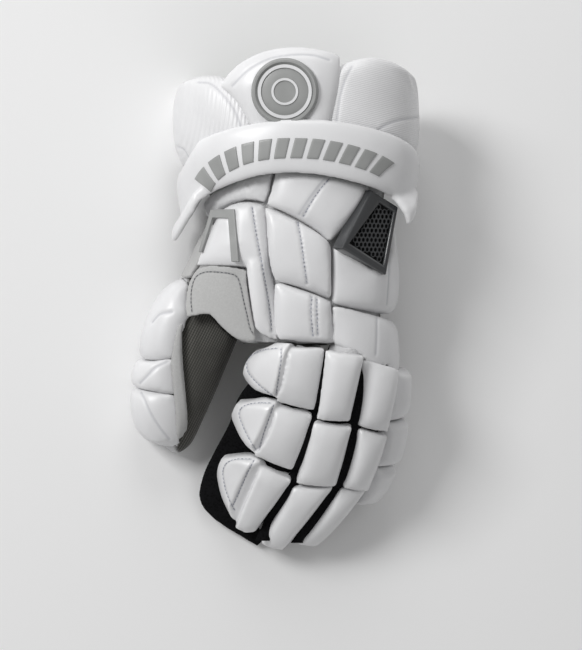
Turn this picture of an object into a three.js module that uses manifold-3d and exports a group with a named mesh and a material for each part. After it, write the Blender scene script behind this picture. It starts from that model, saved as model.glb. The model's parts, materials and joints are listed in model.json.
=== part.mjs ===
// A left-hand lacrosse glove lying palm down on a table, in millimetres.
// +Z is up, the cuff is toward +Y, the fingers toward -Y and the thumb toward -X.
// The origin is the middle of the underside of the whole glove.
import * as THREE from 'three';
import Module from 'manifold-3d';

const wasm = await Module();
wasm.setup();

// Driving sizes
const gloveLength = 304;        // from the top of the cuff to the tip of the middle finger
const squaresInLength = 500;    // the outline tables are drawn on squares, this many to the length
const lean = 14;                // degrees that the glove rolls over toward the thumb as it lies
const gap = 0.35;               // clearance between neighbouring pieces
const seamGap = 0.9;            // width of the crease between two padded rolls
const seatGap = 0.8;            // clearance of a curved seat, which its facets use up in places
const shellWall = 2.6;          // lined hand
const sleeveWall = 2;           // finger stalls
const backPadDepth = 11;        // padding on the back of the hand
const cuffPadDepth = 12;        // padding of the cuff
const fingerPadDepth = 10.5;    // padding on the fingers
const thumbPadDepth = 9;        // padding on the thumb
const tipTaper = 0.3;           // how much the last roll of a finger narrows to its tip
const tipDroop = 4;             // how far its end drops toward the tip
const weltDepth = 5;            // grey welt of the thumb
const patchDepth = 2.2;         // suede and palm leather
const inlayRise = 0.7;          // how far the inlay stands above its pad
const bandRise = 5;             // how far the band stands above the cuff
const bandDepth = 5.2;
const strapDepth = 4;           // strap beside the thumb
const gussetDepth = 6;          // soft gusset between the cuff and the hand
const strapSink = 4.95;         // how far the strap lies below the back's padding
const gussetSink = 4.4;
const patchSink = 3.85;
const weltSink = 2;
const liningDepth = 3;
const liningGap = 2;            // from the lining to the curved underside of the cuff's pads
const discDiameter = 41;
const discDepth = 3.4;
const discSink = 1.2;           // how far it is let into the cuff
const discRim = { bevel: 1.2, wide: 3.4, foot: 4.4, low: 0.7 };
const ventDepth = 3;
const ventHole = 2.3;           // width of a hole
const ventPitch = 3.8;
const tabDepth = 2.4;
const roundness = 2.4;          // exponent of the rounded sections
const square = gloveLength / squaresInLength;

// Sections of the hand, from the wrist to the knuckles, in squares.
// along: place on the length. left and right: the sides of the padded back.
// crest: its height. flank: height of the sides. slope: how much the thumb side is raised.
// palm: height of the underside. wall: thumb-side limit of the hollow hand itself.
const handRows = [
  { along: 140, left: -82, right: 124, crest: 133, flank: 50, slope: 0, palm: 23, wall: -62 },
  { along: 80, left: -82, right: 124, crest: 132, flank: 48, slope: 0, palm: 20, wall: -62 },
  { along: 50, left: -92, right: 125, crest: 131, flank: 48, slope: 0, palm: 21, wall: -70 },
  { along: 22, left: -107, right: 125, crest: 129, flank: 49, slope: 0, palm: 24, wall: -80 },
  { along: 0, left: -112, right: 125, crest: 127, flank: 50, slope: -3, palm: 28, wall: -84 },
  { along: -20, left: -112, right: 125, crest: 125, flank: 53, slope: -8, palm: 33, wall: -66 },
  { along: -46, left: -100, right: 126, crest: 123, flank: 58, slope: -15, palm: 36, wall: -30 },
  { along: -95, left: -80, right: 128, crest: 110, flank: 48, slope: -20, palm: 26, wall: -20 },
];

// Sections of the cuff, on the same squares
const cuffRows = [
  { along: 40, left: -80, right: 126, crest: 138, flank: 34, slope: 0, palm: -60 },
  { along: 100, left: -82, right: 130, crest: 138, flank: 32, slope: 0, palm: -60 },
  { along: 175, left: -103, right: 148, crest: 142, flank: 28, slope: 0, palm: -60 },
  { along: 255, left: -102, right: 149, crest: 150, flank: 34, slope: 0, palm: -60 },
];

// Sections of the thumb with its padding
const thumbRows = [
  { along: 40, left: -98, right: -8, crest: 100, flank: 60, slope: 0, palm: 30 },
  { along: 22, left: -106, right: -14, crest: 101, flank: 60, slope: 0, palm: 29 },
  { along: 0, left: -122, right: -26, crest: 102, flank: 59, slope: 0, palm: 28 },
  { along: -30, left: -135, right: -34, crest: 101, flank: 57, slope: 0, palm: 27 },
  { along: -60, left: -141, right: -46, crest: 98, flank: 54, slope: 0, palm: 27 },
  { along: -90, left: -147, right: -58, crest: 94, flank: 51, slope: 0, palm: 26.5 },
  { along: -125, left: -144, right: -74, crest: 87, flank: 47, slope: 0, palm: 26.5 },
  { along: -146, left: -130, right: -84, crest: 76, flank: 46, slope: 0, palm: 27 },
  { along: -156, left: -116, right: -98, crest: 56, flank: 45, slope: 0, palm: 34 },
];

// How the cuff spreads to both sides toward its top, in squares: nothing within the first of each pair,
// and all of the reach beyond the second
const cuffSpread = {
  along: [64, 172],
  left: { across: [-28, -84], reach: -22 },
  right: { across: [56, 126], reach: 17 },
};

// How the side lobes of the index finger run out to rounded points, in squares.
// along: places at the edge of the lobes. to: where each comes to lie. out: how far it moves toward the thumb.
const lobeSeam = [[-40, 8], [-112, 0], [-170, -11], [-230, -34]];
const lobeWidth = 26;
const lobeEdge = [
  { along: -40, to: -40, out: 0 },
  { along: -48, to: -52, out: 12 },
  { along: -86, to: -67, out: 14 },
  { along: -109, to: -88, out: 11 },
  { along: -117, to: -102, out: 12 },
  { along: -142, to: -114, out: 11 },
  { along: -159, to: -133, out: 8 },
  { along: -165, to: -156, out: 13 },
  { along: -200, to: -174, out: 9 },
  { along: -218, to: -195, out: 7 },
  { along: -230, to: -219, out: 6 },
  { along: -250, to: -250, out: 0 },
];

// Finger centre lines, in squares, with the stall's radius in millimetres and the turn of its back
// toward the little finger in degrees
const fingers = {
  index: {
    turn: 10,
    half: 14,
    path: [
      { across: 28, along: -49, high: 88, radius: 11.8 },
      { across: 23, along: -74, high: 84, radius: 11.8 },
      { across: 11, along: -130, high: 68, radius: 11.4 },
      { across: -7, along: -186, high: 45, radius: 10.6 },
      { across: -25, along: -222, high: 21, radius: 9.8 },
    ],
  },
  middle: {
    turn: 8,
    half: 12.6,
    path: [
      { across: 71, along: -49, high: 88, radius: 11.4 },
      { across: 66, along: -74, high: 84, radius: 11.4 },
      { across: 57, along: -123, high: 70, radius: 11.2 },
      { across: 40, along: -178, high: 43, radius: 10.2 },
      { across: 14, along: -230, high: 10, radius: 9.4 },
    ],
  },
  ring: {
    turn: 28,
    half: 11.6,
    path: [
      { across: 97, along: -54, high: 66, radius: 10.4 },
      { across: 95, along: -82, high: 63, radius: 10.4 },
      { across: 89, along: -130, high: 51, radius: 10.2 },
      { across: 75, along: -176, high: 29, radius: 9.6 },
      { across: 46, along: -226, high: 3, radius: 9 },
    ],
  },
  pinky: {
    turn: 56,
    half: 10.4,
    path: [
      { across: 107, along: -62, high: 34, radius: 9.4 },
      { across: 106, along: -88, high: 31, radius: 9.4 },
      { across: 103, along: -133, high: 20, radius: 9.2 },
      { across: 94, along: -168, high: 7, radius: 8.8 },
      { across: 80, along: -196, high: -6, radius: 8.4 },
    ],
  },
};

// Rolls: from and to are shares of the finger's centre line, skew slants their ends
const rollRows = [
  { finger: 'index', number: 1, from: -0.05, to: 0.315, skew: -0.02 },
  { finger: 'index', number: 2, from: 0.335, to: 0.62, skew: -0.02 },
  { finger: 'index', number: 3, from: 0.64, to: 1.02, skew: -0.02 },
  { finger: 'middle', number: 1, from: 0, to: 0.34, skew: 0.02 },
  { finger: 'middle', number: 2, from: 0.36, to: 0.655, skew: 0.02 },
  { finger: 'middle', number: 3, from: 0.675, to: 1.02, skew: 0.0 },
  { finger: 'ring', number: 1, from: 0.05, to: 0.37, skew: 0.02 },
  { finger: 'ring', number: 2, from: 0.39, to: 0.66, skew: 0.02 },
  { finger: 'ring', number: 3, from: 0.68, to: 1.02, skew: 0.0 },
  { finger: 'pinky', number: 1, from: 0.05, to: 0.37, skew: 0.0 },
  { finger: 'pinky', number: 2, from: 0.39, to: 0.68, skew: 0.0 },
  { finger: 'pinky', number: 3, from: 0.7, to: 1.02, skew: 0.0 },
];

// Colours and finishes of the materials
const finishes = {
  leather: { color: 0xeeeeef, roughness: 0.5, metalness: 0 },
  suede: { color: 0xc2c1be, roughness: 0.9, metalness: 0 },
  fabric: { color: 0x4a4946, roughness: 0.9, metalness: 0 },
  mesh: { color: 0x0a0a0b, roughness: 0.85, metalness: 0 },
  plastic: { color: 0x3a3b3c, roughness: 0.35, metalness: 0 },
  rubber: { color: 0xb7b8b5, roughness: 0.5, metalness: 0 },
  palm: { color: 0xb9b6b2, roughness: 0.8, metalness: 0 },
  lining: { color: 0x2f5a22, roughness: 0.9, metalness: 0 },
};

const pieces = [];

// Small sums
function mix(from, to, share) {
  return from + (to - from) * share;
}

function evenShares(count) {
  return Array.from({ length: count + 1 }, (unused, place) => place / count);
}

function smooth(before, start, end, after, share) {
  const slopeStart = (end - before) / 2;
  const slopeEnd = (after - start) / 2;
  const square2 = share * share;
  const cube = square2 * share;
  return (2 * cube - 3 * square2 + 1) * start + (cube - 2 * square2 + share) * slopeStart
    + (3 * square2 - 2 * cube) * end + (cube - square2) * slopeEnd;
}

// A row between the rows of a table, at a place along it
function rowAt(rows, along) {
  let index = 0;
  while (index < rows.length - 2 && along < rows[index + 1].along) {
    index += 1;
  }
  const start = rows[index];
  const end = rows[index + 1];
  const before = rows[Math.max(index - 1, 0)];
  const after = rows[Math.min(index + 2, rows.length - 1)];
  const share = Math.min(Math.max((start.along - along) / (start.along - end.along), 0), 1);
  const row = {};
  for (const key of Object.keys(start)) {
    row[key] = smooth(before[key], start[key], end[key], after[key], share);
  }
  row.along = along;
  return row;
}

// The turn round a section, in radians from its crest, at which a place across it lies.
// A place past the side's line carries on down the side.
function turnAt(row, across) {
  const middle = (row.left + row.right) / 2;
  const half = (row.right - row.left) / 2;
  const share = Math.abs(across - middle) / half;
  const side = Math.sign(across - middle);
  if (share <= 1) {
    return side * Math.asin(share ** (roundness / 2));
  }
  const past = (share - 1) * half / (row.flank - row.palm);
  return side * (1 + Math.min(past, 1)) * Math.PI / 2;
}

// The point of a section at a turn round it, in millimetres, from the lengths of its sides
function ringPoint(turn, along, sides) {
  const { left, right, top, bottom, flank, slope } = sides;
  const sideways = Math.sign(Math.sin(turn)) * Math.abs(Math.sin(turn)) ** (2 / roundness);
  const upward = Math.sign(Math.cos(turn)) * Math.abs(Math.cos(turn)) ** (2 / roundness);
  const reach = upward > 0 ? top - flank : flank - bottom;
  return new THREE.Vector3(
    (left + right) / 2 + (right - left) / 2 * sideways,
    along * square,
    flank + reach * upward + slope * sideways,
  );
}

// The padded skin of a row, moved in by a depth
function skinSides(row, depth = 0) {
  return {
    left: row.left * square + depth,
    right: row.right * square - depth,
    top: row.crest * square - depth,
    bottom: row.palm * square,
    flank: row.flank * square,
    slope: row.slope * square,
  };
}

// The hollow hand under its padding, and the hollow thumb, whose inner side has no padding
function handSides(row, depth) {
  const sides = skinSides(row, backPadDepth + depth);
  return { ...sides, left: row.wall * square + depth, bottom: sides.bottom + depth };
}

function thumbSides(row, depth) {
  const sides = skinSides(row, thumbPadDepth + depth);
  const top = Math.max(sides.top, sides.flank + thumbPadDepth / 2);
  return { ...sides, top, right: row.right * square - depth, bottom: sides.bottom + depth };
}

function cuffSides(row, depth) {
  return skinSides(row, cuffPadDepth + depth);
}

function skinPoint(rows, turn, along) {
  return ringPoint(turn, along, skinSides(rowAt(rows, along)));
}

// The outward direction of a skin at a turn and a place along it
function skinNormal(rows, turn, along) {
  const step = 0.03;
  const reach = 2;
  const across = skinPoint(rows, turn + step, along).sub(skinPoint(rows, turn - step, along));
  const down = skinPoint(rows, turn, along - reach).sub(skinPoint(rows, turn, along + reach));
  return down.cross(across).normalize();
}

// Closed bodies from points and faces
function signedVolume(points, faces) {
  let volume = 0;
  for (const [a, b, c] of faces) {
    volume += points[a].dot(new THREE.Vector3().crossVectors(points[b], points[c]));
  }
  return volume / 6;
}

function solidFrom(points, faces) {
  const inward = signedVolume(points, faces) < 0;
  const vertProperties = new Float32Array(points.flatMap((point) => [point.x, point.y, point.z]));
  const triVerts = new Uint32Array(faces.flatMap(([a, b, c]) => (inward ? [a, c, b] : [a, b, c])));
  const mesh = new wasm.Mesh({ numProp: 3, vertProperties, triVerts });
  mesh.merge();
  return new wasm.Manifold(mesh);
}

// A body between two grids of points of the same size, closed by walls round their rims
function gridSolid(topGrid, bottomGrid) {
  const rows = topGrid.length;
  const columns = topGrid[0].length;
  const points = [...topGrid.flat(), ...bottomGrid.flat()];
  const below = rows * columns;
  const faces = [];
  for (let row = 0; row < rows - 1; row += 1) {
    for (let column = 0; column < columns - 1; column += 1) {
      const corner = row * columns + column;
      faces.push([corner, corner + 1, corner + columns + 1]);
      faces.push([corner, corner + columns + 1, corner + columns]);
      faces.push([below + corner, below + corner + columns + 1, below + corner + 1]);
      faces.push([below + corner, below + corner + columns, below + corner + columns + 1]);
    }
  }
  const rim = [];
  for (let column = 0; column < columns - 1; column += 1) {
    rim.push(column);
  }
  for (let row = 0; row < rows - 1; row += 1) {
    rim.push(row * columns + columns - 1);
  }
  for (let column = columns - 1; column > 0; column -= 1) {
    rim.push((rows - 1) * columns + column);
  }
  for (let row = rows - 1; row > 0; row -= 1) {
    rim.push(row * columns);
  }
  rim.forEach((start, place) => {
    const end = rim[(place + 1) % rim.length];
    faces.push([start, below + start, end]);
    faces.push([end, below + start, below + end]);
  });
  return solidFrom(points, faces);
}

// A body through rings of points, with a flat cap at each end
function loftSolid(rings) {
  const sides = rings[0].length;
  const points = rings.flat();
  const faces = [];
  for (let ring = 0; ring < rings.length - 1; ring += 1) {
    for (let side = 0; side < sides; side += 1) {
      const next = (side + 1) % sides;
      const near = ring * sides;
      const far = near + sides;
      faces.push([near + side, near + next, far + next]);
      faces.push([near + side, far + next, far + side]);
    }
  }
  for (const [ring, first] of [[rings[0], 0], [rings.at(-1), points.length - sides]]) {
    const centre = new THREE.Vector3();
    ring.forEach((point) => centre.addScaledVector(point, 1 / sides));
    const hub = points.push(centre) - 1;
    for (let side = 0; side < sides; side += 1) {
      const next = (side + 1) % sides;
      const face = [hub, first + next, first + side];
      faces.push(first === 0 ? face : face.reverse());
    }
  }
  return solidFrom(points, faces);
}

// A geometry of three.js as a solid, placed by a matrix
function solidFromGeometry(geometry, matrix) {
  const indexed = geometry.index ? geometry.toNonIndexed() : geometry;
  const positions = indexed.attributes.position;
  const points = [];
  const faces = [];
  for (let start = 0; start < positions.count; start += 3) {
    for (let corner = 0; corner < 3; corner += 1) {
      points.push(new THREE.Vector3().fromBufferAttribute(positions, start + corner).applyMatrix4(matrix));
    }
    faces.push([start, start + 1, start + 2]);
  }
  return solidFrom(points, faces);
}

function pointsAndFaces(solid) {
  const mesh = solid.getMesh();
  const points = [];
  for (let start = 0; start < mesh.vertProperties.length; start += mesh.numProp) {
    points.push(new THREE.Vector3().fromArray(mesh.vertProperties, start));
  }
  const faces = [];
  for (let start = 0; start < mesh.triVerts.length; start += 3) {
    faces.push([mesh.triVerts[start], mesh.triVerts[start + 1], mesh.triVerts[start + 2]]);
  }
  return { points, faces };
}

// The same body with its skin moved out by a distance
function grown(solid, distance) {
  const { points, faces } = pointsAndFaces(solid);
  const normals = points.map(() => new THREE.Vector3());
  for (const [a, b, c] of faces) {
    const edge = new THREE.Vector3().subVectors(points[b], points[a]);
    const normal = edge.cross(new THREE.Vector3().subVectors(points[c], points[a])).normalize();
    normals[a].add(normal);
    normals[b].add(normal);
    normals[c].add(normal);
  }
  points.forEach((point, place) => point.addScaledVector(normals[place].normalize(), distance));
  return solidFrom(points, faces);
}

// The same body without the slivers that cuts leave: the ends of each very short edge become one point,
// and a flat triangle gives its long edge up to the corner that lies on it
const shortestEdge = 0.08;
const flattest = 0.03;
const tidyRounds = 3;

function sharedEdges(faces) {
  const owners = new Map();
  faces.forEach((face, place) => face.forEach((corner, side) => {
    owners.set(`${corner},${face[(side + 1) % 3]}`, place);
  }));
  return owners;
}

// The place of a triangle's longest edge, if its third corner lies nearly on that edge
function flatSide(points, face) {
  const lengths = face.map((corner, side) => points[corner].distanceTo(points[face[(side + 1) % 3]]));
  const side = lengths.indexOf(Math.max(...lengths));
  const triangle = new THREE.Triangle(...face.map((corner) => points[corner]));
  return 2 * triangle.getArea() / lengths[side] < flattest ? side : -1;
}

function tidied(solid) {
  const { points, faces } = pointsAndFaces(solid);
  const hosts = points.map((point, place) => place);
  for (const [a, b, c] of faces) {
    for (const [start, end] of [[a, b], [b, c], [c, a]]) {
      if (points[start].distanceTo(points[end]) < shortestEdge) {
        const host = Math.min(hosts[start], hosts[end]);
        const guest = Math.max(hosts[start], hosts[end]);
        hosts.forEach((old, place) => {
          hosts[place] = old === guest ? host : old;
        });
      }
    }
  }
  const whole = faces.map((face) => face.map((corner) => hosts[corner])).filter(([a, b, c]) => a !== b && b !== c && c !== a);
  const keys = whole.map((face) => [...face].sort((one, other) => one - other).join());
  const kept = whole.filter((face, place) => keys.indexOf(keys[place]) === keys.lastIndexOf(keys[place]));
  for (let turn = 0; turn < tidyRounds * kept.length; turn += 1) {
    const place = turn % kept.length;
    const side = flatSide(points, kept[place]);
    if (side >= 0) {
      const [start, end, apex] = [0, 1, 2].map((step) => kept[place][(side + step) % 3]);
      const owners = sharedEdges(kept);
      const beside = owners.get(`${end},${start}`);
      const far = kept[beside]?.find((corner) => corner !== start && corner !== end);
      if (far !== undefined && !owners.has(`${apex},${far}`) && !owners.has(`${far},${apex}`)) {
        kept[place] = [start, far, apex];
        kept[beside] = [far, end, apex];
      }
    }
  }
  return solidFrom(points, kept);
}

function largestPart(solid) {
  const parts = solid.decompose();
  parts.sort((one, other) => other.volume() - one.volume());
  return parts[0];
}

// Each piece with its finish, and the bulk that its neighbours keep clear of
function addPiece(name, solid, finish, bulk = solid) {
  pieces.push({ name, solid, finish, bulk });
}

// Padding: how full a pad is at a share across it and along it
const stations = [0, 0.08, 0.3, 0.7, 0.92, 1];
const roundStations = [0, 0.09, 0.3, 0.5, 0.7, 0.91, 1];
const wideStations = [0, 0.07, 0.2, 0.35, 0.5, 0.65, 0.8, 0.93, 1];

function fullness(share) {
  return 1 - Math.abs(2 * share - 1) ** 5;
}

function padHeight(across, along, depth, edge) {
  return depth * (edge + (1 - edge) * (fullness(across) * fullness(along)) ** 0.7);
}

// A point on a line of points, at a share of its length
function pointOnLine(line, share) {
  const lengths = line.slice(1).map((point, place) => Math.hypot(point[0] - line[place][0], point[1] - line[place][1]));
  const whole = lengths.reduce((sum, length) => sum + length, 0);
  let left = Math.min(Math.max(share, 0), 1) * whole;
  let place = 0;
  while (place < lengths.length - 1 && left > lengths[place]) {
    left -= lengths[place];
    place += 1;
  }
  const part = lengths[place] ? left / lengths[place] : 0;
  return [mix(line[place][0], line[place + 1][0], part), mix(line[place][1], line[place + 1][1], part)];
}

// The place inside an outline of four sides, at shares across and along it
function placeInOutline(outline, across, along) {
  const { top, bottom, left, right } = outline;
  const t = pointOnLine(top, across);
  const b = pointOnLine(bottom, across);
  const l = pointOnLine(left, along);
  const r = pointOnLine(right, along);
  return [0, 1].map((axis) => {
    const ruled = mix(t[axis], b[axis], along) + mix(l[axis], r[axis], across);
    const nearCorners = mix(top[0][axis], top.at(-1)[axis], across);
    const farCorners = mix(bottom[0][axis], bottom.at(-1)[axis], across);
    return ruled - mix(nearCorners, farCorners, along);
  });
}

// A pad on a skin, inside an outline drawn on the squares and set back by half a crease.
// The skin is the pad's fullest height, and the pad goes in from it by its depth.
const turnScale = 60;            // squares to a radian, so that both axes of an outline weigh alike

function skinPad(rows, outline, options) {
  const { depth, edge = 0.5, rise = 0, crease = seamGap, columns = stations, lines = stations, seat } = options;
  const turned = {};
  for (const side of ['top', 'bottom', 'left', 'right']) {
    turned[side] = outline[side].map(([across, along]) => [turnAt(rowAt(rows, along), across) * turnScale, along]);
  }
  const skinAt = (across, along) => {
    const [turn, place] = placeInOutline(turned, across, along);
    return skinPoint(rows, turn / turnScale, place);
  };
  const insetAcross = crease / 2 / skinAt(0, 0.5).distanceTo(skinAt(1, 0.5));
  const insetAlong = crease / 2 / skinAt(0.5, 0).distanceTo(skinAt(0.5, 1));
  const topGrid = [];
  const bottomGrid = [];
  for (const along of lines) {
    const topLine = [];
    const bottomLine = [];
    for (const across of columns) {
      const place = placeInOutline(turned, mix(insetAcross, 1 - insetAcross, across), mix(insetAlong, 1 - insetAlong, along));
      const turn = place[0] / turnScale;
      const skin = skinPoint(rows, turn, place[1]);
      const normal = skinNormal(rows, turn, place[1]);
      topLine.push(skin.clone().addScaledVector(normal, rise - depth + padHeight(across, along, depth, edge)));
      bottomLine.push(seat
        ? ringPoint(turn, place[1], seat(rowAt(rows, place[1]), -seatGap))
        : skin.clone().addScaledVector(normal, rise - depth));
    }
    topGrid.push(topLine);
    bottomGrid.push(bottomLine);
  }
  return gridSolid(topGrid, bottomGrid);
}

// Centre line of a finger: a place on it, its frame and its radius at a share of its length
function fingerCurve(finger) {
  const corners = finger.path.map((row) => new THREE.Vector3(row.across, row.along, row.high).multiplyScalar(square));
  return new THREE.CatmullRomCurve3(corners, false, 'centripetal');
}

function fingerFrame(finger, share, turnDegrees) {
  const curve = fingerCurve(finger);
  const held = Math.min(Math.max(share, 0), 1);
  const centre = curve.getPointAt(held);
  const ahead = curve.getTangentAt(held);
  centre.addScaledVector(ahead, (share - held) * curve.getLength());
  const side = new THREE.Vector3(0, 0, 1).cross(ahead).negate().normalize();
  const up = new THREE.Vector3().crossVectors(ahead, side).negate().normalize();
  if (up.z < 0) {
    up.negate();
  }
  if (side.x < 0) {
    side.negate();
  }
  const turn = turnDegrees * Math.PI / 180;
  const turnedUp = up.clone().multiplyScalar(Math.cos(turn)).addScaledVector(side, Math.sin(turn));
  const turnedSide = side.clone().multiplyScalar(Math.cos(turn)).addScaledVector(up, -Math.sin(turn));
  const place = held * (finger.path.length - 1);
  const row = Math.min(Math.floor(place), finger.path.length - 2);
  const radius = mix(finger.path[row].radius, finger.path[row + 1].radius, place - row);
  return { centre, ahead, up: turnedUp, side: turnedSide, radius };
}

// A hollow stall with a round closed tip
const stallSides = 10;
const stallStart = -0.03;
const stallShares = [0.16, 0.36, 0.56, 0.76, 0.94];
const hollowSides = 8;
const hollowShares = [0.36, 0.7, 0.94];
const tipShares = [{ on: 0.6, size: 0.85 }, { on: 0.95, size: 0.45 }];

function stallRings(finger, inward, start, sides, shares) {
  const rings = [];
  const ringAt = (frame, radius) => {
    const ring = [];
    for (let side = 0; side < sides; side += 1) {
      const turn = side / sides * 2 * Math.PI;
      ring.push(frame.centre.clone().addScaledVector(frame.side, Math.sin(turn) * radius)
        .addScaledVector(frame.up, Math.cos(turn) * radius));
    }
    return ring;
  };
  for (const share of [start, ...shares]) {
    const frame = fingerFrame(finger, share, finger.turn);
    rings.push(ringAt(frame, frame.radius - inward));
  }
  const last = fingerFrame(finger, shares.at(-1), finger.turn);
  for (const { on, size } of tipShares) {
    const frame = { ...last, centre: last.centre.clone().addScaledVector(last.ahead, on * (last.radius - inward)) };
    rings.push(ringAt(frame, (last.radius - inward) * size));
  }
  return rings;
}

function stall(finger) {
  const outer = loftSolid(stallRings(finger, 0, stallStart, stallSides, stallShares));
  const inner = loftSolid(stallRings(finger, sleeveWall, stallStart - 0.05, hollowSides, hollowShares));
  return { outer, inner, solid: outer.subtract(inner) };
}

// A padded roll or lobe that rides on a stall. Its seat has the facets of the stall.
const rollAcross = [0, 0.135, 0.29, 0.5, 0.71, 0.865, 1];
const rollAlong = [0, 0.12, 0.5, 0.88, 1];

function padLine(finger, along, across, options) {
  const { from, to, turn, half, depth, skew = 0, edge = 0.55, taper = 0, droop = 0, pinch = 0 } = options;
  const top = [];
  const bottom = [];
  for (const place of across) {
    const side = 2 * place - 1;
    const share = mix(from, to, along) + skew * side + pinch * (2 * along - 1) * Math.min(side, 0);
    const frame = fingerFrame(finger, share, turn);
    const width = half * frame.radius / finger.path[0].radius * (1 - taper * along ** 2);
    const offset = side * width;
    const seat = frame.radius + seatGap;
    const seatHeight = Math.sqrt(Math.max(seat ** 2 - offset ** 2, (seat * 0.5) ** 2));
    const height = seat + padHeight(place, along, depth, edge) - (seat - seatHeight) * 0.35 - droop * along ** 3;
    top.push(frame.centre.clone().addScaledVector(frame.side, offset).addScaledVector(frame.up, height));
    bottom.push(frame.centre.clone().addScaledVector(frame.side, offset).addScaledVector(frame.up, seatHeight));
  }
  return { top, bottom };
}

function stallPad(finger, options) {
  const lines = rollAlong.map((along) => padLine(finger, along, rollAcross, options));
  return gridSolid(lines.map((line) => line.top), lines.map((line) => line.bottom));
}

// A roll and a lobe beside it as one body, with the valley of their seam between them.
// The lobe lies before the roll where its turn is negative, and after it where it is positive.
const lobedAcross = [0, 0.135, 0.5, 0.865];
const seatShare = 0.8;          // of the width above it that each half of the seat takes up
const valleyDepth = 0.5;        // height of the valley, as a share of the padding

function lobedPad(finger, roll, lobe) {
  const [first, second] = lobe.turn < roll.turn ? [lobe, roll] : [roll, lobe];
  const between = { ...roll, turn: (roll.turn + lobe.turn) / 2, depth: roll.depth * valleyDepth };
  const farAcross = lobedAcross.map((place) => 1 - place).reverse();
  const nearSeat = lobedAcross.map((place) => place * seatShare);
  const farSeat = farAcross.map((place) => 1 - (1 - place) * seatShare);
  const lines = rollAlong.map((along) => {
    const valley = padLine(finger, along, [0.5], between);
    const nearTop = padLine(finger, along, lobedAcross, first).top;
    const farTop = padLine(finger, along, farAcross, second).top;
    const nearBottom = padLine(finger, along, nearSeat, first).bottom;
    const farBottom = padLine(finger, along, farSeat, second).bottom;
    return {
      top: [...nearTop, ...valley.top, ...farTop],
      bottom: [...nearBottom, ...valley.bottom, ...farBottom],
    };
  });
  return gridSolid(lines.map((line) => line.top), lines.map((line) => line.bottom));
}

// Rings of a section at the places of a list
function rings(rows, places, sidesOf, depth, count) {
  return places.map((along) => Array.from({ length: count }, (unused, side) => ringPoint(
    side / count * 2 * Math.PI,
    along,
    sidesOf(rowAt(rows, along), depth),
  )));
}

// The hollow hand
const handCount = 24;
const handPlaces = [143, 110, 78, 50, 22, 0, -22, -44];
const handOuter = loftSolid(rings(handRows, handPlaces, handSides, 0, handCount));
const handHollowCount = 16;
const handInnerPlaces = [handPlaces[0] + 8, 78, 22, -22, handPlaces.at(-1) - 8];
const handInner = loftSolid(rings(handRows, handInnerPlaces, handSides, shellWall, handHollowCount));

// The hollow thumb
const thumbCount = 16;
const thumbPlaces = [30, 0, -30, -60, -90, -115, -132, -146, -154];
const thumbHollowCount = 10;
const thumbInnerPlaces = [thumbPlaces[0] + 8, -30, -90, -125, -142];
const thumbOuter = loftSolid(rings(thumbRows, thumbPlaces, thumbSides, 0, thumbCount));
const thumbInner = loftSolid(rings(thumbRows, thumbInnerPlaces, thumbSides, sleeveWall, thumbHollowCount));
const handShell = handOuter.subtract(handInner).subtract(thumbInner);
addPiece('hand_shell', handShell, 'fabric', handOuter);
addPiece('sleeve_thumb', thumbOuter.subtract(thumbInner), 'fabric', thumbOuter);

const stalls = {};
for (const name of ['middle', 'index', 'ring', 'pinky']) {
  stalls[name] = stall(fingers[name]);
  addPiece(`sleeve_${name}`, stalls[name].solid, 'mesh', stalls[name].outer);
}

// The rolls of the fingers, with the side lobes of the index and the little finger
const lobes = {
  index: { turn: -60, half: 14.5, depth: 14, pinch: 0.045 },
  pinky: { turn: 60, half: 9.5, depth: 10 },
};
for (const row of rollRows) {
  const finger = fingers[row.finger];
  const tip = row.number === 3 ? { taper: tipTaper, droop: tipDroop } : {};
  const roll = {
    from: row.from, to: row.to, turn: finger.turn, half: finger.half, depth: fingerPadDepth, skew: row.skew, ...tip,
  };
  const lobe = lobes[row.finger];
  const side = lobe && { ...roll, ...lobe, turn: finger.turn + lobe.turn };
  const solid = lobe ? lobedPad(finger, roll, side) : stallPad(finger, roll);
  addPiece(`roll_${row.finger}_${row.number}`, solid, 'leather');
}

// A flat plate drawn on the squares, which leans with the skin at its middle: each corner goes straight up
// to the plate's plane, and its thickness along the plane's normal
function leaningPlate(shape, middle, sink, thickness, segments) {
  const turn = turnAt(rowAt(handRows, middle.along), middle.across);
  const normal = skinNormal(handRows, turn, middle.along);
  const seat = skinPoint(handRows, turn, middle.along).addScaledVector(normal, -sink);
  const place = new THREE.Matrix4().set(
    1, 0, normal.x, 0,
    0, 1, normal.y, 0,
    -normal.x / normal.z, -normal.y / normal.z, normal.z,
    seat.z + (seat.x * normal.x + seat.y * normal.y) / normal.z,
    0, 0, 0, 1,
  );
  const extrusion = { depth: thickness, bevelEnabled: false, curveSegments: segments };
  return solidFromGeometry(new THREE.ExtrudeGeometry(shape, extrusion), place);
}

function shapeFrom(corners) {
  return new THREE.Shape(corners.map(([across, along]) => new THREE.Vector2(across * square, along * square)));
}

// The grey inlay of the radial pad, let into it: a bar with a broad leg and a narrow one
const inlayCorners = [[-60, 89], [-38, 89], [-34, 37], [-41, 37], [-44, 80], [-59, 81], [-71, 47], [-74, 47]];
const inlayMiddle = { across: -52, along: 66 };
const inlaySink = 1.6;
const inlay = leaningPlate(shapeFrom(inlayCorners), inlayMiddle, inlaySink, inlaySink + inlayRise, 1);
addPiece('chevron_inlay', inlay, 'rubber');

// The vent: a flat plate with a row of corners, pierced in rows of round holes.
const ventCorners = [[65, 51], [80, 78], [93, 111], [104, 110], [115, 103], [123, 92], [122, 80], [110, 26], [104, 24], [77, 44]];
const ventMiddle = { across: 100, along: 68 };
const holeField = [[77, 60], [115, 96], [110, 36]];
const ventSink = 3.4;

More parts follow.
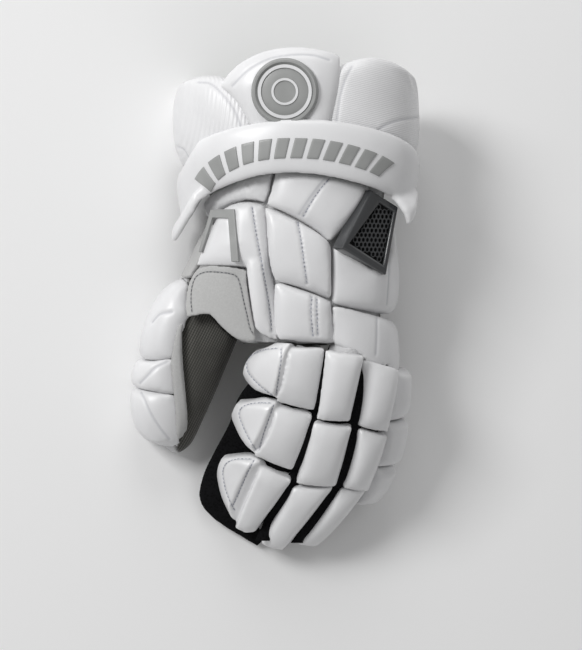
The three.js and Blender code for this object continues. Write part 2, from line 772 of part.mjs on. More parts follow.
function insideCorners(corners, across, along) {
  return corners.every((corner, place) => {
    const next = corners[(place + 1) % corners.length];
    return (next[0] - corner[0]) * (along - corner[1]) < (next[1] - corner[1]) * (across - corner[0]);
  });
}

const ventShape = shapeFrom(ventCorners);
const rowPitch = ventPitch * Math.sin(Math.PI / 3);
const fieldLeft = holeField[0][0] * square;
const fieldBottom = holeField[2][1] * square;
const fieldLines = Math.ceil((holeField[1][1] * square - fieldBottom) / rowPitch);
const fieldColumns = Math.ceil((holeField[1][0] * square - fieldLeft) / ventPitch);
for (let line = 0; line <= fieldLines; line += 1) {
  for (let column = 0; column <= fieldColumns; column += 1) {
    const across = fieldLeft + (column + (line % 2) / 2) * ventPitch;
    const along = fieldBottom + line * rowPitch;
    if (insideCorners(holeField, across / square, along / square)) {
      const hole = new THREE.Path();
      hole.absarc(across, along, ventHole / 2, 0, 2 * Math.PI);
      ventShape.holes.push(hole);
    }
  }
}

const ventSolid = leaningPlate(ventShape, ventMiddle, ventSink, ventDepth, 3);
const ventBulk = leaningPlate(shapeFrom(ventCorners), ventMiddle, ventSink, ventDepth, 1);
addPiece('vent_grille', ventSolid, 'plastic', ventBulk);

// The back of the hand, each outline by its four sides
addPiece('back_roll_upper', skinPad(handRows, {
  top: [[0, 128], [40, 127], [70, 121], [97, 111]],
  bottom: [[-10, 94], [15, 84], [40, 71], [56, 57]],
  left: [[0, 128], [-4, 108], [-10, 94]],
  right: [[97, 111], [88, 95], [75, 74], [56, 57]],
}, { depth: backPadDepth, seat: handSides }), 'leather');
addPiece('back_roll_middle', skinPad(handRows, {
  top: [[-12, 92], [15, 82], [40, 69], [56, 56]],
  bottom: [[0, 18], [20, 13], [35, 9], [58, 0]],
  left: [[-12, 92], [-9, 50], [0, 18]],
  right: [[56, 56], [59, 30], [58, 0]],
}, { depth: backPadDepth, seat: handSides }), 'leather');
addPiece('back_pad_outer', skinPad(handRows, {
  top: [[61, 55], [80, 44], [108, 24], [128, 88], [140, 88]],
  bottom: [[60, -4], [85, -9], [105, -12], [120, -14], [136, -14]],
  left: [[61, 55], [61, 30], [60, -4]],
  right: [[140, 88], [140, 40], [136, -14]],
}, { depth: backPadDepth, seat: handSides, columns: [0, 0.07, 0.22, 0.42, 0.6, 0.78, 0.93, 1] }), 'leather');
addPiece('knuckle_inner', skinPad(handRows, {
  top: [[0, 17], [20, 11], [35, 7], [58, -4]],
  bottom: [[2, -41], [30, -43], [58, -44]],
  left: [[0, 17], [-2, -8], [2, -41]],
  right: [[58, -4], [59, -25], [58, -44]],
}, { depth: backPadDepth, seat: handSides }), 'leather');
addPiece('knuckle_outer', skinPad(handRows, {
  top: [[59, -8], [85, -11], [110, -16], [132, -18]],
  bottom: [[58, -43], [85, -52], [107, -61], [131, -65]],
  left: [[59, -8], [58, -25], [58, -43]],
  right: [[132, -18], [133, -40], [131, -65]],
}, { depth: backPadDepth, seat: handSides, columns: roundStations }), 'leather');
const radialUpper = skinPad(handRows, {
  top: [[-62, 78], [-50, 97], [-30, 99], [-14, 92]],
  bottom: [[-84, 37], [-50, 35], [-10, 30]],
  left: [[-62, 78], [-74, 57], [-84, 37]],
  right: [[-14, 92], [-11, 60], [-10, 30]],
}, { depth: backPadDepth, edge: 0.6, seat: handSides });
const radialLower = skinPad(handRows, {
  top: [[-30, 46], [-11, 46]],
  bottom: [[-18, -31], [1, -41]],
  left: [[-30, 46], [-28, 25], [-23, -8], [-18, -31]],
  right: [[-11, 46], [-6, 10], [1, -41]],
}, { depth: backPadDepth, edge: 0.6, seat: handSides });
addPiece('radial_pad', radialUpper.add(radialLower), 'leather');

addPiece('web_patch', skinPad(handRows, {
  top: [[-82, 34], [-70, 37], [-50, 35], [-29, 30]],
  bottom: [[-92, -17], [-68, -12], [-52, -26], [-38, -46], [-18, -42]],
  left: [[-82, 34], [-93, 17], [-95, -4], [-92, -17]],
  right: [[-29, 30], [-22, -8], [-17, -31], [-18, -42]],
}, { depth: patchDepth, rise: -patchSink, edge: 0.85 }), 'suede');
addPiece('thumb_strap', skinPad(handRows, {
  top: [[-77, 78], [-67, 77]],
  bottom: [[-112, 28], [-92, 26]],
  left: [[-77, 78], [-92, 52], [-112, 28]],
  right: [[-67, 77], [-78, 52], [-92, 26]],
}, { depth: strapDepth, rise: -strapSink, edge: 0.8 }), 'suede');
addPiece('wrist_gusset', skinPad(handRows, {
  top: [[-80, 92], [-68, 108], [-42, 120], [-2, 128]],
  bottom: [[-72, 79], [-50, 99], [-30, 101], [-13, 94]],
  left: [[-80, 92], [-72, 79]],
  right: [[-2, 128], [-6, 106], [-13, 94]],
}, { depth: gussetDepth, rise: -gussetSink, edge: 0.6 }), 'leather');

// The padded back of the thumb
addPiece('thumb_pad_upper', skinPad(thumbRows, {
  top: [[-112, 24], [-96, 20], [-92, -12]],
  bottom: [[-146, -56], [-128, -60], [-107, -58]],
  left: [[-112, 24], [-160, 0], [-146, -56]],
  right: [[-92, -12], [-99, -28], [-107, -58]],
}, { depth: thumbPadDepth, seat: thumbSides, columns: wideStations }), 'leather');
addPiece('thumb_pad_middle', skinPad(thumbRows, {
  top: [[-160, -56], [-146, -57], [-128, -61], [-107, -59]],
  bottom: [[-165, -84], [-147, -85], [-130, -91], [-104, -95]],
  left: [[-160, -56], [-165, -84]],
  right: [[-107, -59], [-107, -75], [-104, -95]],
}, { depth: thumbPadDepth, seat: thumbSides, columns: wideStations }), 'leather');
addPiece('thumb_cap', skinPad(thumbRows, {
  top: [[-165, -85], [-147, -86], [-130, -92], [-104, -96]],
  bottom: [[-158, -130], [-135, -145], [-114, -149], [-100, -147]],
  left: [[-165, -85], [-165, -112], [-158, -130]],
  right: [[-104, -96], [-101, -120], [-100, -147]],
}, { depth: thumbPadDepth, seat: thumbSides, columns: wideStations }), 'leather');
addPiece('thumb_welt', skinPad(thumbRows, {
  top: [[-98, -24], [-92, -22]],
  bottom: [[-100, -150], [-82, -136]],
  left: [[-98, -24], [-106, -60], [-105, -90], [-98, -120], [-100, -150]],
  right: [[-92, -22], [-94, -50], [-91, -75], [-87, -100], [-82, -136]],
}, { depth: weltDepth, rise: -weltSink, columns: [0, 0.2, 0.5, 0.8, 1] }), 'suede');

// The cuff: its disc, pads, band and lining
const bandOutline = {
  top: [[-86, 118], [-78, 133], [-70, 149], [-60, 159], [-45, 167], [-25, 173], [15, 178], [55, 177], [75, 173],
    [95, 167], [110, 160], [125, 148], [134, 128], [141, 97]],
  bottom: [[-89, 56], [-81, 72], [-78, 85], [-72, 95], [-60, 105], [-45, 112], [-25, 120], [10, 126], [45, 123.5],
    [70, 117], [95, 110], [110, 103], [122, 95], [130, 74]],
  left: [[-86, 118], [-89, 56]],
  right: [[141, 97], [130, 74]],
};
const bandColumns = evenShares(14);
const bandPad = skinPad(cuffRows, bandOutline, {
  depth: bandDepth, edge: 0.55, rise: bandRise, crease: 0, columns: bandColumns, lines: [0, 0.08, 0.3, 0.7, 0.92, 1],
});
addPiece('cuff_band', bandPad, 'leather');
const discPlace = { across: 10, along: 204 };
const discTurn = turnAt(rowAt(cuffRows, discPlace.along), discPlace.across);
const discNormal = skinNormal(cuffRows, discTurn, discPlace.along);
const discProfile = [
  [0, 0],
  [discDiameter / 2, 0],
  [discDiameter / 2, discDepth * discRim.low],
  [discDiameter / 2 - discRim.bevel, discDepth],
  [discDiameter / 2 - discRim.wide, discDepth],
  [discDiameter / 2 - discRim.foot, discDepth * discRim.low],
  [0, discDepth * discRim.low],
].map(([radius, high]) => new THREE.Vector2(radius, high));
const discGeometry = new THREE.LatheGeometry(discProfile, 24);
const discMatrix = new THREE.Matrix4().compose(
  skinPoint(cuffRows, discTurn, discPlace.along).addScaledVector(discNormal, -discSink),
  new THREE.Quaternion().setFromUnitVectors(new THREE.Vector3(0, 1, 0), discNormal),
  new THREE.Vector3(1, 1, 1),
);
addPiece('cuff_disc', solidFromGeometry(discGeometry, discMatrix), 'rubber');

addPiece('cuff_pad_thumb', skinPad(cuffRows, {
  top: [[-99, 192], [-93, 208], [-78, 224], [-62, 224], [-48, 215]],
  bottom: [[-104, 128], [-78, 132], [-60, 146], [-26, 160]],
  left: [[-99, 192], [-116, 175], [-116, 150], [-104, 128]],
  right: [[-48, 215], [-38, 203], [-30, 188], [-26, 158]],
}, { depth: cuffPadDepth, seat: cuffSides, columns: wideStations }), 'leather');
addPiece('cuff_pad_centre', skinPad(cuffRows, {
  top: [[-46, 216], [-35, 236], [-12, 247], [15, 250], [45, 248], [62, 243]],
  bottom: [[-24, 156], [15, 162], [55, 162]],
  left: [[-46, 216], [-36, 203], [-28, 188], [-24, 156]],
  right: [[62, 243], [64, 220], [58, 195], [55, 162]],
}, { depth: cuffPadDepth, seat: cuffSides, columns: wideStations }), 'leather');
addPiece('cuff_pad_outer', skinPad(cuffRows, {
  top: [[66, 226], [75, 240], [98, 241], [118, 233], [138, 215]],
  bottom: [[57, 162], [80, 158], [110, 145], [150, 122]],
  left: [[66, 226], [64, 205], [57, 162]],
  right: [[138, 215], [163, 190], [166, 150], [150, 122]],
}, { depth: cuffPadDepth, seat: cuffSides, columns: wideStations }), 'leather');

const liningReach = 1.6;        // radians to each side of the crest
const liningTurns = evenShares(12).map((share) => mix(-liningReach, liningReach, share));
const liningPlaces = [130, 150, 172, 214];

// The lining starts round the hand and widens to the underside of the cuff's pads
function liningPoint(along, turn, depth) {
  const widening = Math.min((along - liningPlaces[0]) / (liningPlaces[2] - liningPlaces[0]), 1);
  const cuffSide = ringPoint(turn, along, cuffSides(rowAt(cuffRows, along), depth + liningGap));
  const handSide = ringPoint(turn, along, handSides(rowAt(handRows, along), depth - liningGap - liningDepth));
  return handSide.lerp(cuffSide, widening);
}

const liningGrid = (depth) => liningPlaces.map((along) => liningTurns.map((turn) => liningPoint(along, turn, depth)));
addPiece('cuff_lining', gridSolid(liningGrid(0), liningGrid(liningDepth)), 'lining');

// The palm side. A palm skin is the hand's own underside.
function palmPad(outline, options) {
  const { depth, edge = 0.7, drop = 0, lines = [0, 0.1, 0.5, 0.9, 1], columns = roundStations } = options;
  const topGrid = [];
  const bottomGrid = [];
  for (const along of lines) {
    const topLine = [];
    const bottomLine = [];
    for (const across of columns) {
      const place = placeInOutline(outline, across, along);
      const row = rowAt(handRows, place[1]);
      const left = row.wall;
      const right = row.right - backPadDepth / square;
      const share = Math.min(Math.max((place[0] - (left + right) / 2) / ((right - left) / 2), -1), 1);
      const fall = (1 - Math.abs(share) ** roundness) ** (1 / roundness);
      const high = row.flank - (row.flank - row.palm) * fall + row.slope * share;
      const seat = new THREE.Vector3(place[0] * square, place[1] * square, high * square - seatGap - drop);
      const full = padHeight(across, along, depth, edge);
      topLine.push(seat);
      bottomLine.push(seat.clone().add(new THREE.Vector3(0, 0, -full)));
    }
    topGrid.push(topLine);
    bottomGrid.push(bottomLine);
  }
  return gridSolid(topGrid, bottomGrid);
}

const palmPadDepth = 22;        // reaches past the table, which cuts it flat
const elasticDepth = 2.4;
addPiece('palm_wrist_pad', palmPad({
  top: [[-52, 172], [-40, 176], [80, 176], [92, 172]],
  bottom: [[-50, 84], [20, 92], [90, 84]],
  left: [[-52, 172], [-50, 84]],
  right: [[92, 172], [90, 84]],
}, { depth: palmPadDepth, edge: 0.75, columns: wideStations }), 'leather');
addPiece('wrist_elastic', palmPad({
  top: [[-58, 82], [20, 84], [100, 80]],
  bottom: [[-62, 46], [20, 52], [102, 48]],
  left: [[-58, 82], [-62, 46]],
  right: [[100, 80], [102, 48]],
}, { depth: elasticDepth, edge: 0.8, lines: [0, 0.5, 1], columns: wideStations }), 'mesh');
addPiece('strap_tab', palmPad({
  top: [[92, 76], [107, 76]],
  bottom: [[92, 43], [107, 43]],
  left: [[92, 76], [92, 43]],
  right: [[107, 76], [107, 43]],
}, { depth: tabDepth, edge: 0.9, drop: elasticDepth + gap }), 'mesh');
addPiece('palm_heel', palmPad({
  top: [[10, 48], [52, 48]],
  bottom: [[-14, -36], [20, -50], [62, -44]],
  left: [[10, 48], [8, 10], [-14, -36]],
  right: [[52, 48], [60, 10], [62, -44]],
}, { depth: patchDepth, edge: 0.8 }), 'palm');
addPiece('palm_main', palmPad({
  top: [[-50, 42], [2, 46]],
  bottom: [[-32, -44], [-18, -44]],
  left: [[-50, 42], [-56, 10], [-32, -44]],
  right: [[2, 46], [0, 10], [-18, -44]],
}, { depth: patchDepth, edge: 0.8 }), 'palm');
addPiece('palm_bridge', palmPad({
  top: [[-14, -50], [60, -54], [98, -54]],
  bottom: [[-14, -92], [50, -98], [92, -96]],
  left: [[-14, -50], [-14, -92]],
  right: [[98, -54], [92, -96]],
}, { depth: patchDepth, edge: 0.8 }), 'palm');
for (const [name, finger] of Object.entries(fingers)) {
  addPiece(`tip_patch_${name}`, stallPad(finger, {
    from: 0.5, to: 0.97, turn: finger.turn + 180, half: 7.5, depth: patchDepth, edge: 0.8,
  }), 'palm');
}

// A value of a table, between the two rows that hold a key
function between(table, key, keyOf, valueOf) {
  const rising = keyOf(table[0]) < keyOf(table.at(-1)) ? table : [...table].reverse();
  if (key <= keyOf(rising[0])) return valueOf(rising[0]);
  const next = rising.findIndex((row) => keyOf(row) >= key);
  if (next < 0) return valueOf(rising.at(-1));
  const share = (key - keyOf(rising[next - 1])) / (keyOf(rising[next]) - keyOf(rising[next - 1]));
  return mix(valueOf(rising[next - 1]), valueOf(rising[next]), share);
}

function smoothShare(value, [from, to]) {
  const share = Math.min(Math.max((value - from) / (to - from), 0), 1);
  return share * share * (3 - 2 * share);
}

function spreadOut(point) {
  const across = point.x / square;
  const side = across < 0 ? cuffSpread.left : cuffSpread.right;
  point.x += side.reach * square * smoothShare(across, side.across) * smoothShare(point.y / square, cuffSpread.along);
  return point;
}

function pointedLobes(point) {
  const across = point.x / square;
  const along = point.y / square;
  const seam = between(lobeSeam, along, (row) => row[0], (row) => row[1]);
  const share = Math.min(Math.max((seam - across) / lobeWidth, 0), 1);
  const to = between(lobeEdge, along, (row) => row.along, (row) => row.to);
  const out = between(lobeEdge, along, (row) => row.along, (row) => row.out);
  const inside = along < lobeEdge[0].along && along > lobeEdge.at(-1).along;
  if (inside) {
    point.x -= out * share * square;
    point.y += (to - along) * share * square;
  }
  return point;
}

function reshaped(solid, move) {
  const { points, faces } = pointsAndFaces(solid);
  return solidFrom(points.map(move), faces);
}

const lobedPieces = ['sleeve_index', 'roll_index_1', 'roll_index_2', 'roll_index_3'];
const spread = pieces.map((piece) => {
  const moves = lobedPieces.includes(piece.name) ? [spreadOut, pointedLobes] : [spreadOut];
  const [solid, bulk] = [piece.solid, piece.bulk].map((whole) => moves.reduce(reshaped, whole));
  return { ...piece, solid, bulk };
});

// Each piece gives way to those before it that it meets, by the clearance between them
const settled = [];
for (const piece of spread) {
  let solid = piece.solid;
  for (const other of settled) {
    if (solid.intersect(other.wide).volume() > 0.001) {
      solid = solid.subtract(other.wide).subtract(other.bulk);
    }
  }
  solid = largestPart(solid);
  settled.push({ ...piece, solid, wide: grown(piece.bulk, gap).add(piece.bulk) });
}

// The glove rolls over toward the thumb until it lies on the table, which flattens what reaches it
const roll = new THREE.Matrix4().makeRotationY(-lean * Math.PI / 180);

const table = solidFromGeometry(
  new THREE.BoxGeometry(gloveLength * 3, gloveLength * 3, gloveLength),
  new THREE.Matrix4().makeTranslation(0, 0, -gloveLength / 2),
);
const lying = settled.map((piece) => ({ ...piece, solid: reshaped(piece.solid, (point) => point.applyMatrix4(roll)) }));
const resting = lying.map((piece) => ({ ...piece, solid: tidied(largestPart(piece.solid.subtract(table))) }));
const low = [Infinity, Infinity];
const high = [-Infinity, -Infinity];
for (const { solid } of resting) {
  const box = solid.boundingBox();
  for (const axis of [0, 1]) {
    low[axis] = Math.min(low[axis], box.min[axis]);
    high[axis] = Math.max(high[axis], box.max[axis]);
  }
}

const glove = new THREE.Group();
glove.name = 'lacrosse_glove';
for (const { name, solid, finish } of resting) {
  const mesh = solid.getMesh();
  const geometry = new THREE.BufferGeometry();
  geometry.setAttribute('position', new THREE.BufferAttribute(mesh.vertProperties, 3));
  geometry.setIndex(new THREE.BufferAttribute(mesh.triVerts, 1));
  geometry.computeVertexNormals();
  const node = new THREE.Mesh(geometry, new THREE.MeshStandardMaterial(finishes[finish]));
  node.name = name;
  glove.add(node);
}
glove.position.set(-(low[0] + high[0]) / 2, -(low[1] + high[1]) / 2, 0);

export default glove;
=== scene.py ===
"""A left-hand lacrosse glove lying palm down: its leather, padding, cloth, stitching and trim, on a pale floor."""

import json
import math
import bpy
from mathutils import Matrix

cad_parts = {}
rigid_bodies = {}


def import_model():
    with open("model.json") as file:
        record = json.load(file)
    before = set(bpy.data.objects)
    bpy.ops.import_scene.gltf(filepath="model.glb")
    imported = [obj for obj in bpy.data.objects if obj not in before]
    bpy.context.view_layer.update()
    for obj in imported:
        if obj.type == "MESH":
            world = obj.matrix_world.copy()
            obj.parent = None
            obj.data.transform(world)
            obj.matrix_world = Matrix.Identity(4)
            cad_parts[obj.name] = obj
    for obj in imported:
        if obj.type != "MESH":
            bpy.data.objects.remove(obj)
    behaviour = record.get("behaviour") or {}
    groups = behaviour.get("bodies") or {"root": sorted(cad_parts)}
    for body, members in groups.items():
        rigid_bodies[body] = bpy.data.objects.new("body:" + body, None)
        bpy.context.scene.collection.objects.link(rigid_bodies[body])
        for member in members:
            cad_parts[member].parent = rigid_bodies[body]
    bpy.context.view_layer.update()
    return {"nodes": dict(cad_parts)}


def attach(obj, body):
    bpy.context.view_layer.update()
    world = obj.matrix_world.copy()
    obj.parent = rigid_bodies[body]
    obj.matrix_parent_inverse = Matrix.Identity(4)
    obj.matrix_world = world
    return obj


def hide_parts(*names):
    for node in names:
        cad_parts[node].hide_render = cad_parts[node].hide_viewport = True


bl_info = {
    "name": "Lacrosse Glove",
    "version": (1, 0, 0),
    "blender": (4, 5, 0),
    "location": "3D View > Sidebar > Glove",
    "description": "Makes the leather, cloth and trim of a lacrosse glove round its solid model",
    "category": "Object",
}

import bmesh
import bpy
import numpy as np
from mathutils import Matrix, Vector, noise
from mathutils.bvhtree import BVHTree

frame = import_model()
MM = 0.001
WAVE_LENGTH = 3.18      # crests of a wave texture in one unit at a scale of 1
RIM_ANGLE = 0.75        # a bend above this many radians is a rim, which keeps its place when a piece is rounded

# The view: pixels of the 582 x 650 picture, its middle, and the glove's turn on the table
PICTURE_MIDDLE = (291.0, 325.0)
PIXEL = 0.608 * MM
LEAN = math.radians(14)
GLOVE_PIXEL = (275.0, 300.0)
GLOVE_PLACE = Vector((5.63 * MM, -0.47 * MM, 0))
SHARP_HEIGHT = 48 * MM
CAMERA_DISTANCE = 1.9
ACROSS = Vector((math.cos(LEAN), 0, math.sin(LEAN)))
ALONG = Vector((0, 1, 0))
TOWARD = Vector((-math.sin(LEAN), 0, math.cos(LEAN)))
CAMERA_PLACE = (
    GLOVE_PLACE
    + ACROSS * (PICTURE_MIDDLE[0] - GLOVE_PIXEL[0]) * PIXEL
    + ALONG * (GLOVE_PIXEL[1] - PICTURE_MIDDLE[1]) * PIXEL
    + TOWARD * (CAMERA_DISTANCE + SHARP_HEIGHT)
)

FINGERS = ("index", "middle", "ring", "pinky")
BACK_PADS = ("back_roll_upper", "back_roll_middle", "back_pad_outer", "knuckle_inner", "knuckle_outer", "radial_pad")
THUMB_PADS = ("thumb_pad_upper", "thumb_pad_middle", "thumb_cap")
CUFF_PADS = ("cuff_pad_thumb", "cuff_pad_centre", "cuff_pad_outer")

# Sewn seams, as lines of pixels on the piece that carries them
SEAMS = {
    "back_roll_upper": [[(330, 178), (322, 187), (312, 201), (303, 217)]],
    "back_roll_middle": [[(298, 222), (301, 240), (304, 262), (307, 284)]],
    "knuckle_inner": [[(312, 296), (311, 312), (313, 336)], [(317, 298), (317, 314), (318, 336)]],
    "radial_pad": [[(252, 207), (256, 232), (261, 258), (266, 285), (270, 310), (272, 332)]],
    "roll_index_1": [
        [(281, 348), (281, 360), (279, 376), (276, 396)],
        [(277, 348), (263, 350), (252, 355), (247, 362), (248, 372), (256, 382), (265, 390), (273, 396)],
    ],
    "roll_index_2": [
        [(274, 404), (270, 416), (264, 433), (259, 450)],
        [(271, 403), (256, 403), (244, 406), (239, 413), (242, 424), (248, 437), (256, 450)],
    ],
    "roll_index_3": [
        [(254, 460), (247, 474), (240, 490), (233, 506)],
        [(251, 459), (238, 459), (228, 462), (223, 470), (224, 483), (228, 497), (235, 511)],
    ],
}
SUEDE_SEAM = [
    (192, 312), (191, 300), (192, 287), (196, 277), (204, 272.5), (215, 272), (229, 273.5), (237, 277), (240.5, 286),
    (243.5, 300), (247, 315), (250, 328), (254, 335),
]

# Seams that are only pressed in, without thread
FOLDS = {
    "back_roll_upper": [[(325, 178), (317, 188), (307, 202), (299, 215)]],
    "back_pad_outer": [[(389, 250), (389, 275), (387, 305)]],
    "knuckle_outer": [[(377, 314), (377, 335), (376, 355)]],
    "thumb_pad_upper": [[(152, 322), (160, 314), (172, 312)]],
    "thumb_cap": [[(141, 392), (150, 412), (160, 428), (170, 440)]],
    "thumb_pad_middle": [[(168, 361), (155, 368), (146, 377), (139, 384)]],
    "cuff_pad_outer": [
        [(420, 117), (400, 120), (386, 125), (377, 131)],
        [(352, 66), (345, 80), (340, 97), (337, 118), (336, 124)],
    ],
    "cuff_pad_thumb": [
        [(176, 146), (184, 150), (191, 162)],
        [(198, 82), (211, 84), (223, 95), (233, 108), (240, 124), (243, 134)],
    ],
    "cuff_pad_centre": [[(232, 86), (248, 70), (268, 59), (290, 55), (312, 55), (330, 60)]],
}

PLATE_EASE = 40         # how far the drawing out may miss its pixels, for a smoother result

# Where a piece is drawn out after it is rounded: the pixel from which and the pixel to which, each as x and y
DRAWN_OUT = {
    "roll_index_1": [
        (249, 352, 249, 352), (242, 367, 242, 367), (255, 388, 255, 387), (283, 340, 281, 344),
        (275, 412, 274, 398), (333, 341, 325, 346), (317, 415, 313, 409), (300, 378, 298, 376),
    ],
    "roll_index_2": [
        (239, 402, 239, 402), (234, 414, 234, 414), (243, 433, 243, 432), (264, 470, 256, 455),
        (277, 414, 276, 400), (316, 419, 312, 414), (301, 471, 293, 468), (284, 443, 281, 436),
    ],
    "roll_index_3": [
        (224, 456, 224, 456), (216, 474, 217, 474), (223, 495, 224, 495), (236, 522, 235, 519),
        (256, 466, 256, 457), (298, 475, 291, 478), (273, 525, 266, 521), (252, 533, 247, 532),
    ],
    "roll_middle_1": [
        (334, 345, 330, 349), (368, 360, 363, 356), (356, 432, 351, 419), (318, 417, 319, 417),
    ],
    "roll_middle_2": [
        (318, 420, 317, 420), (353, 435, 351, 425), (331, 491, 334, 484), (301, 475, 299, 481),
    ],
    "roll_middle_3": [
        (298, 479, 296, 484), (330, 493, 330, 488), (302, 540, 289, 546), (277, 529, 264, 537),
    ],
    "roll_ring_1": [
        (370, 363, 367, 361), (398, 369, 398, 369), (388, 435, 385, 430), (358, 428, 359, 426),
    ],
    "roll_ring_2": [
        (357, 433, 359, 431), (389, 438, 387, 434), (371, 488, 368, 488), (343, 478, 344, 486),
    ],
    "roll_ring_3": [
        (337, 484, 339, 489), (371, 490, 366, 490), (335, 535, 320, 543), (315, 529, 301, 541),
    ],
    "knuckle_outer": [
        (332, 344, 332, 346), (350, 348, 350, 353), (368, 352, 367, 361), (399, 356, 400, 369),
        (341, 306, 341, 306), (399, 310, 399, 311),
    ],
    "cuff_pad_centre": [
        (238, 75, 226, 80), (272, 49, 270, 50), (333, 55, 338, 57), (240, 150, 240, 150),
        (330, 150, 330, 150), (300, 49, 300, 49), (285, 96, 285, 96),
    ],
    "cuff_pad_outer": [
        (336, 120, 330, 121), (345, 62, 341, 66), (367, 58, 368, 58), (405, 80, 405, 79),
        (419, 105, 419, 105), (419, 138, 420, 138), (412, 172, 412, 172), (340, 160, 340, 160),
    ],
}

# The edges of the side gusset of the index finger, in pixels, and their heights above the table in millimetres
GUSSET_INNER = [(284, 366), (281, 396), (270, 430), (262, 458), (252, 480), (248, 500), (252, 520), (268, 536)]
GUSSET_OUTER = [(256, 374), (238, 398), (229, 424), (214, 452), (203, 476), (200, 500), (216, 520), (258, 546)]
GUSSET_HIGH = [52, 46, 36, 28, 20, 14, 10, 8]
GUSSET_LOW = [44, 34, 26, 16, 9, 6, 4.5, 3.5]

# The corners of the vent's frame and of its mouth, in pixels, and the depth of the frame in millimetres
VENT_RIM = [(371, 190), (398, 207), (386, 275), (342, 248)]
VENT_DEPTH = 9
VENT_MOUTH = [(380, 203), (394, 212), (384, 265), (350, 243)]

# The dark gaps between the fingers, in pixels
FINGER_GAPS = [
    [(327, 352), (322, 380), (316, 408), (310, 430), (302, 455), (296, 474), (283, 503), (270, 524), (262, 542)],
    [(365, 364), (361, 395), (355, 422), (350, 450), (339, 484), (328, 500), (315, 520), (298, 543)],
]

# Where the band's ends are cut, in millimetres, and for each end the height at which it stops on the flank
# of the cuff and how far it leans toward the fingers
BAND_CUT = Vector((14, 0, 60))
BAND_CUT_NORMAL = Vector((-0.09, 0, 1))
BAND_ENDS = ((14, 17), (38, 5))

# The row of blocks on the band, in pixels
BAND_LINE = [
    (201, 190), (208, 177), (220, 166), (239, 156), (257, 151), (275, 148.5), (296, 148), (317, 149), (337, 152),
    (357, 157), (374, 163), (388, 171), (397, 182),
]
BLOCK_WIDTH, BLOCK_GAP, BLOCK_HEIGHT, BLOCK_SLANT = 12.0, 5.0, 20.0, 5.0


def length(name, description, default, smallest=0):
    return bpy.props.FloatProperty(
        name=name, description=description, default=default * MM, min=smallest * MM, unit="LENGTH")


def tint(name, description, default):
    return bpy.props.FloatVectorProperty(
        name=name, description=description, subtype="COLOR", size=3, default=default)


class GloveSizes(bpy.types.PropertyGroup):
    leather_grid: length("Leather grid", "Spacing of the points that the leather is modelled on", 0.95, 0.5)
    cloth_grid: length("Cloth grid", "Spacing of the points that cloth and suede are modelled on", 0.8, 0.4)
    swell: length("Swell", "How far padding swells into the creases between the pads", 0.45)
    seam_depth: length("Seam depth", "Depth of a sewn seam", 0.7)
    seam_width: length("Seam width", "Half width of a sewn seam", 0.9)
    stitch_pitch: length("Stitch pitch", "Distance from one stitch to the next", 2.5, 1)
    stitch_length: length("Stitch length", "Length of one stitch", 1.5, 0.5)
    thread: length("Thread", "Radius of the sewing thread", 0.24, 0.1)
    vent_cell: length("Vent cell", "Pitch of the six-sided holes of the vent", 3.3, 1)


class GloveColours(bpy.types.PropertyGroup):
    leather: tint("Leather", "White leather", (0.77, 0.77, 0.78))
    shadow: tint("Creases", "Leather in the depth of a crease", (0.30, 0.31, 0.35))
    suede: tint("Suede", "Light grey suede", (0.46, 0.46, 0.455))
    fabric: tint("Inner cloth", "Dark grey cloth", (0.085, 0.083, 0.075))
    mesh: tint("Mesh", "Black knitted mesh", (0.0035, 0.0035, 0.004))
    trim: tint("Trim", "Moulded grey trim", (0.33, 0.335, 0.33))
    vent: tint("Vent", "Dark grey plastic", (0.045, 0.047, 0.05))
    palm: tint("Palm", "Grey palm leather", (0.45, 0.43, 0.41))
    lining: tint("Lining", "Green lining", (0.028, 0.10, 0.018))
    # The blue-grey of the thread is painted shade: it stands for the shadow in the stitch holes.
    thread: tint("Thread", "Blue-grey sewing thread", (0.27, 0.29, 0.36))
    floor: tint("Floor", "Pale floor", (0.93, 0.93, 0.93))


def sizes():
    return bpy.context.scene.glove_sizes


def colours():
    return bpy.context.scene.glove_colours


# Shader sums: a value of a node tree with the usual operators
class Value:
    def __init__(self, finish, socket):
        self.finish = finish
        self.socket = socket

    def sum(self, operation, other):
        return self.finish.node("ShaderNodeMath", {"operation": operation}, {0: self, 1: other})

    def __add__(self, other):
        return self.sum("ADD", other)

    def __mul__(self, other):
        return self.sum("MULTIPLY", other)

    def __sub__(self, other):
        return self.sum("SUBTRACT", other)

    def between(self, low, high):
        """0 below low, 1 above high and smooth between them."""
        return self.finish.node(
            "ShaderNodeMapRange", {"interpolation_type": "SMOOTHSTEP", "clamp": True},
            {"Value": self, "From Min": low, "From Max": high, "To Min": 0.0, "To Max": 1.0})

    __radd__ = __add__


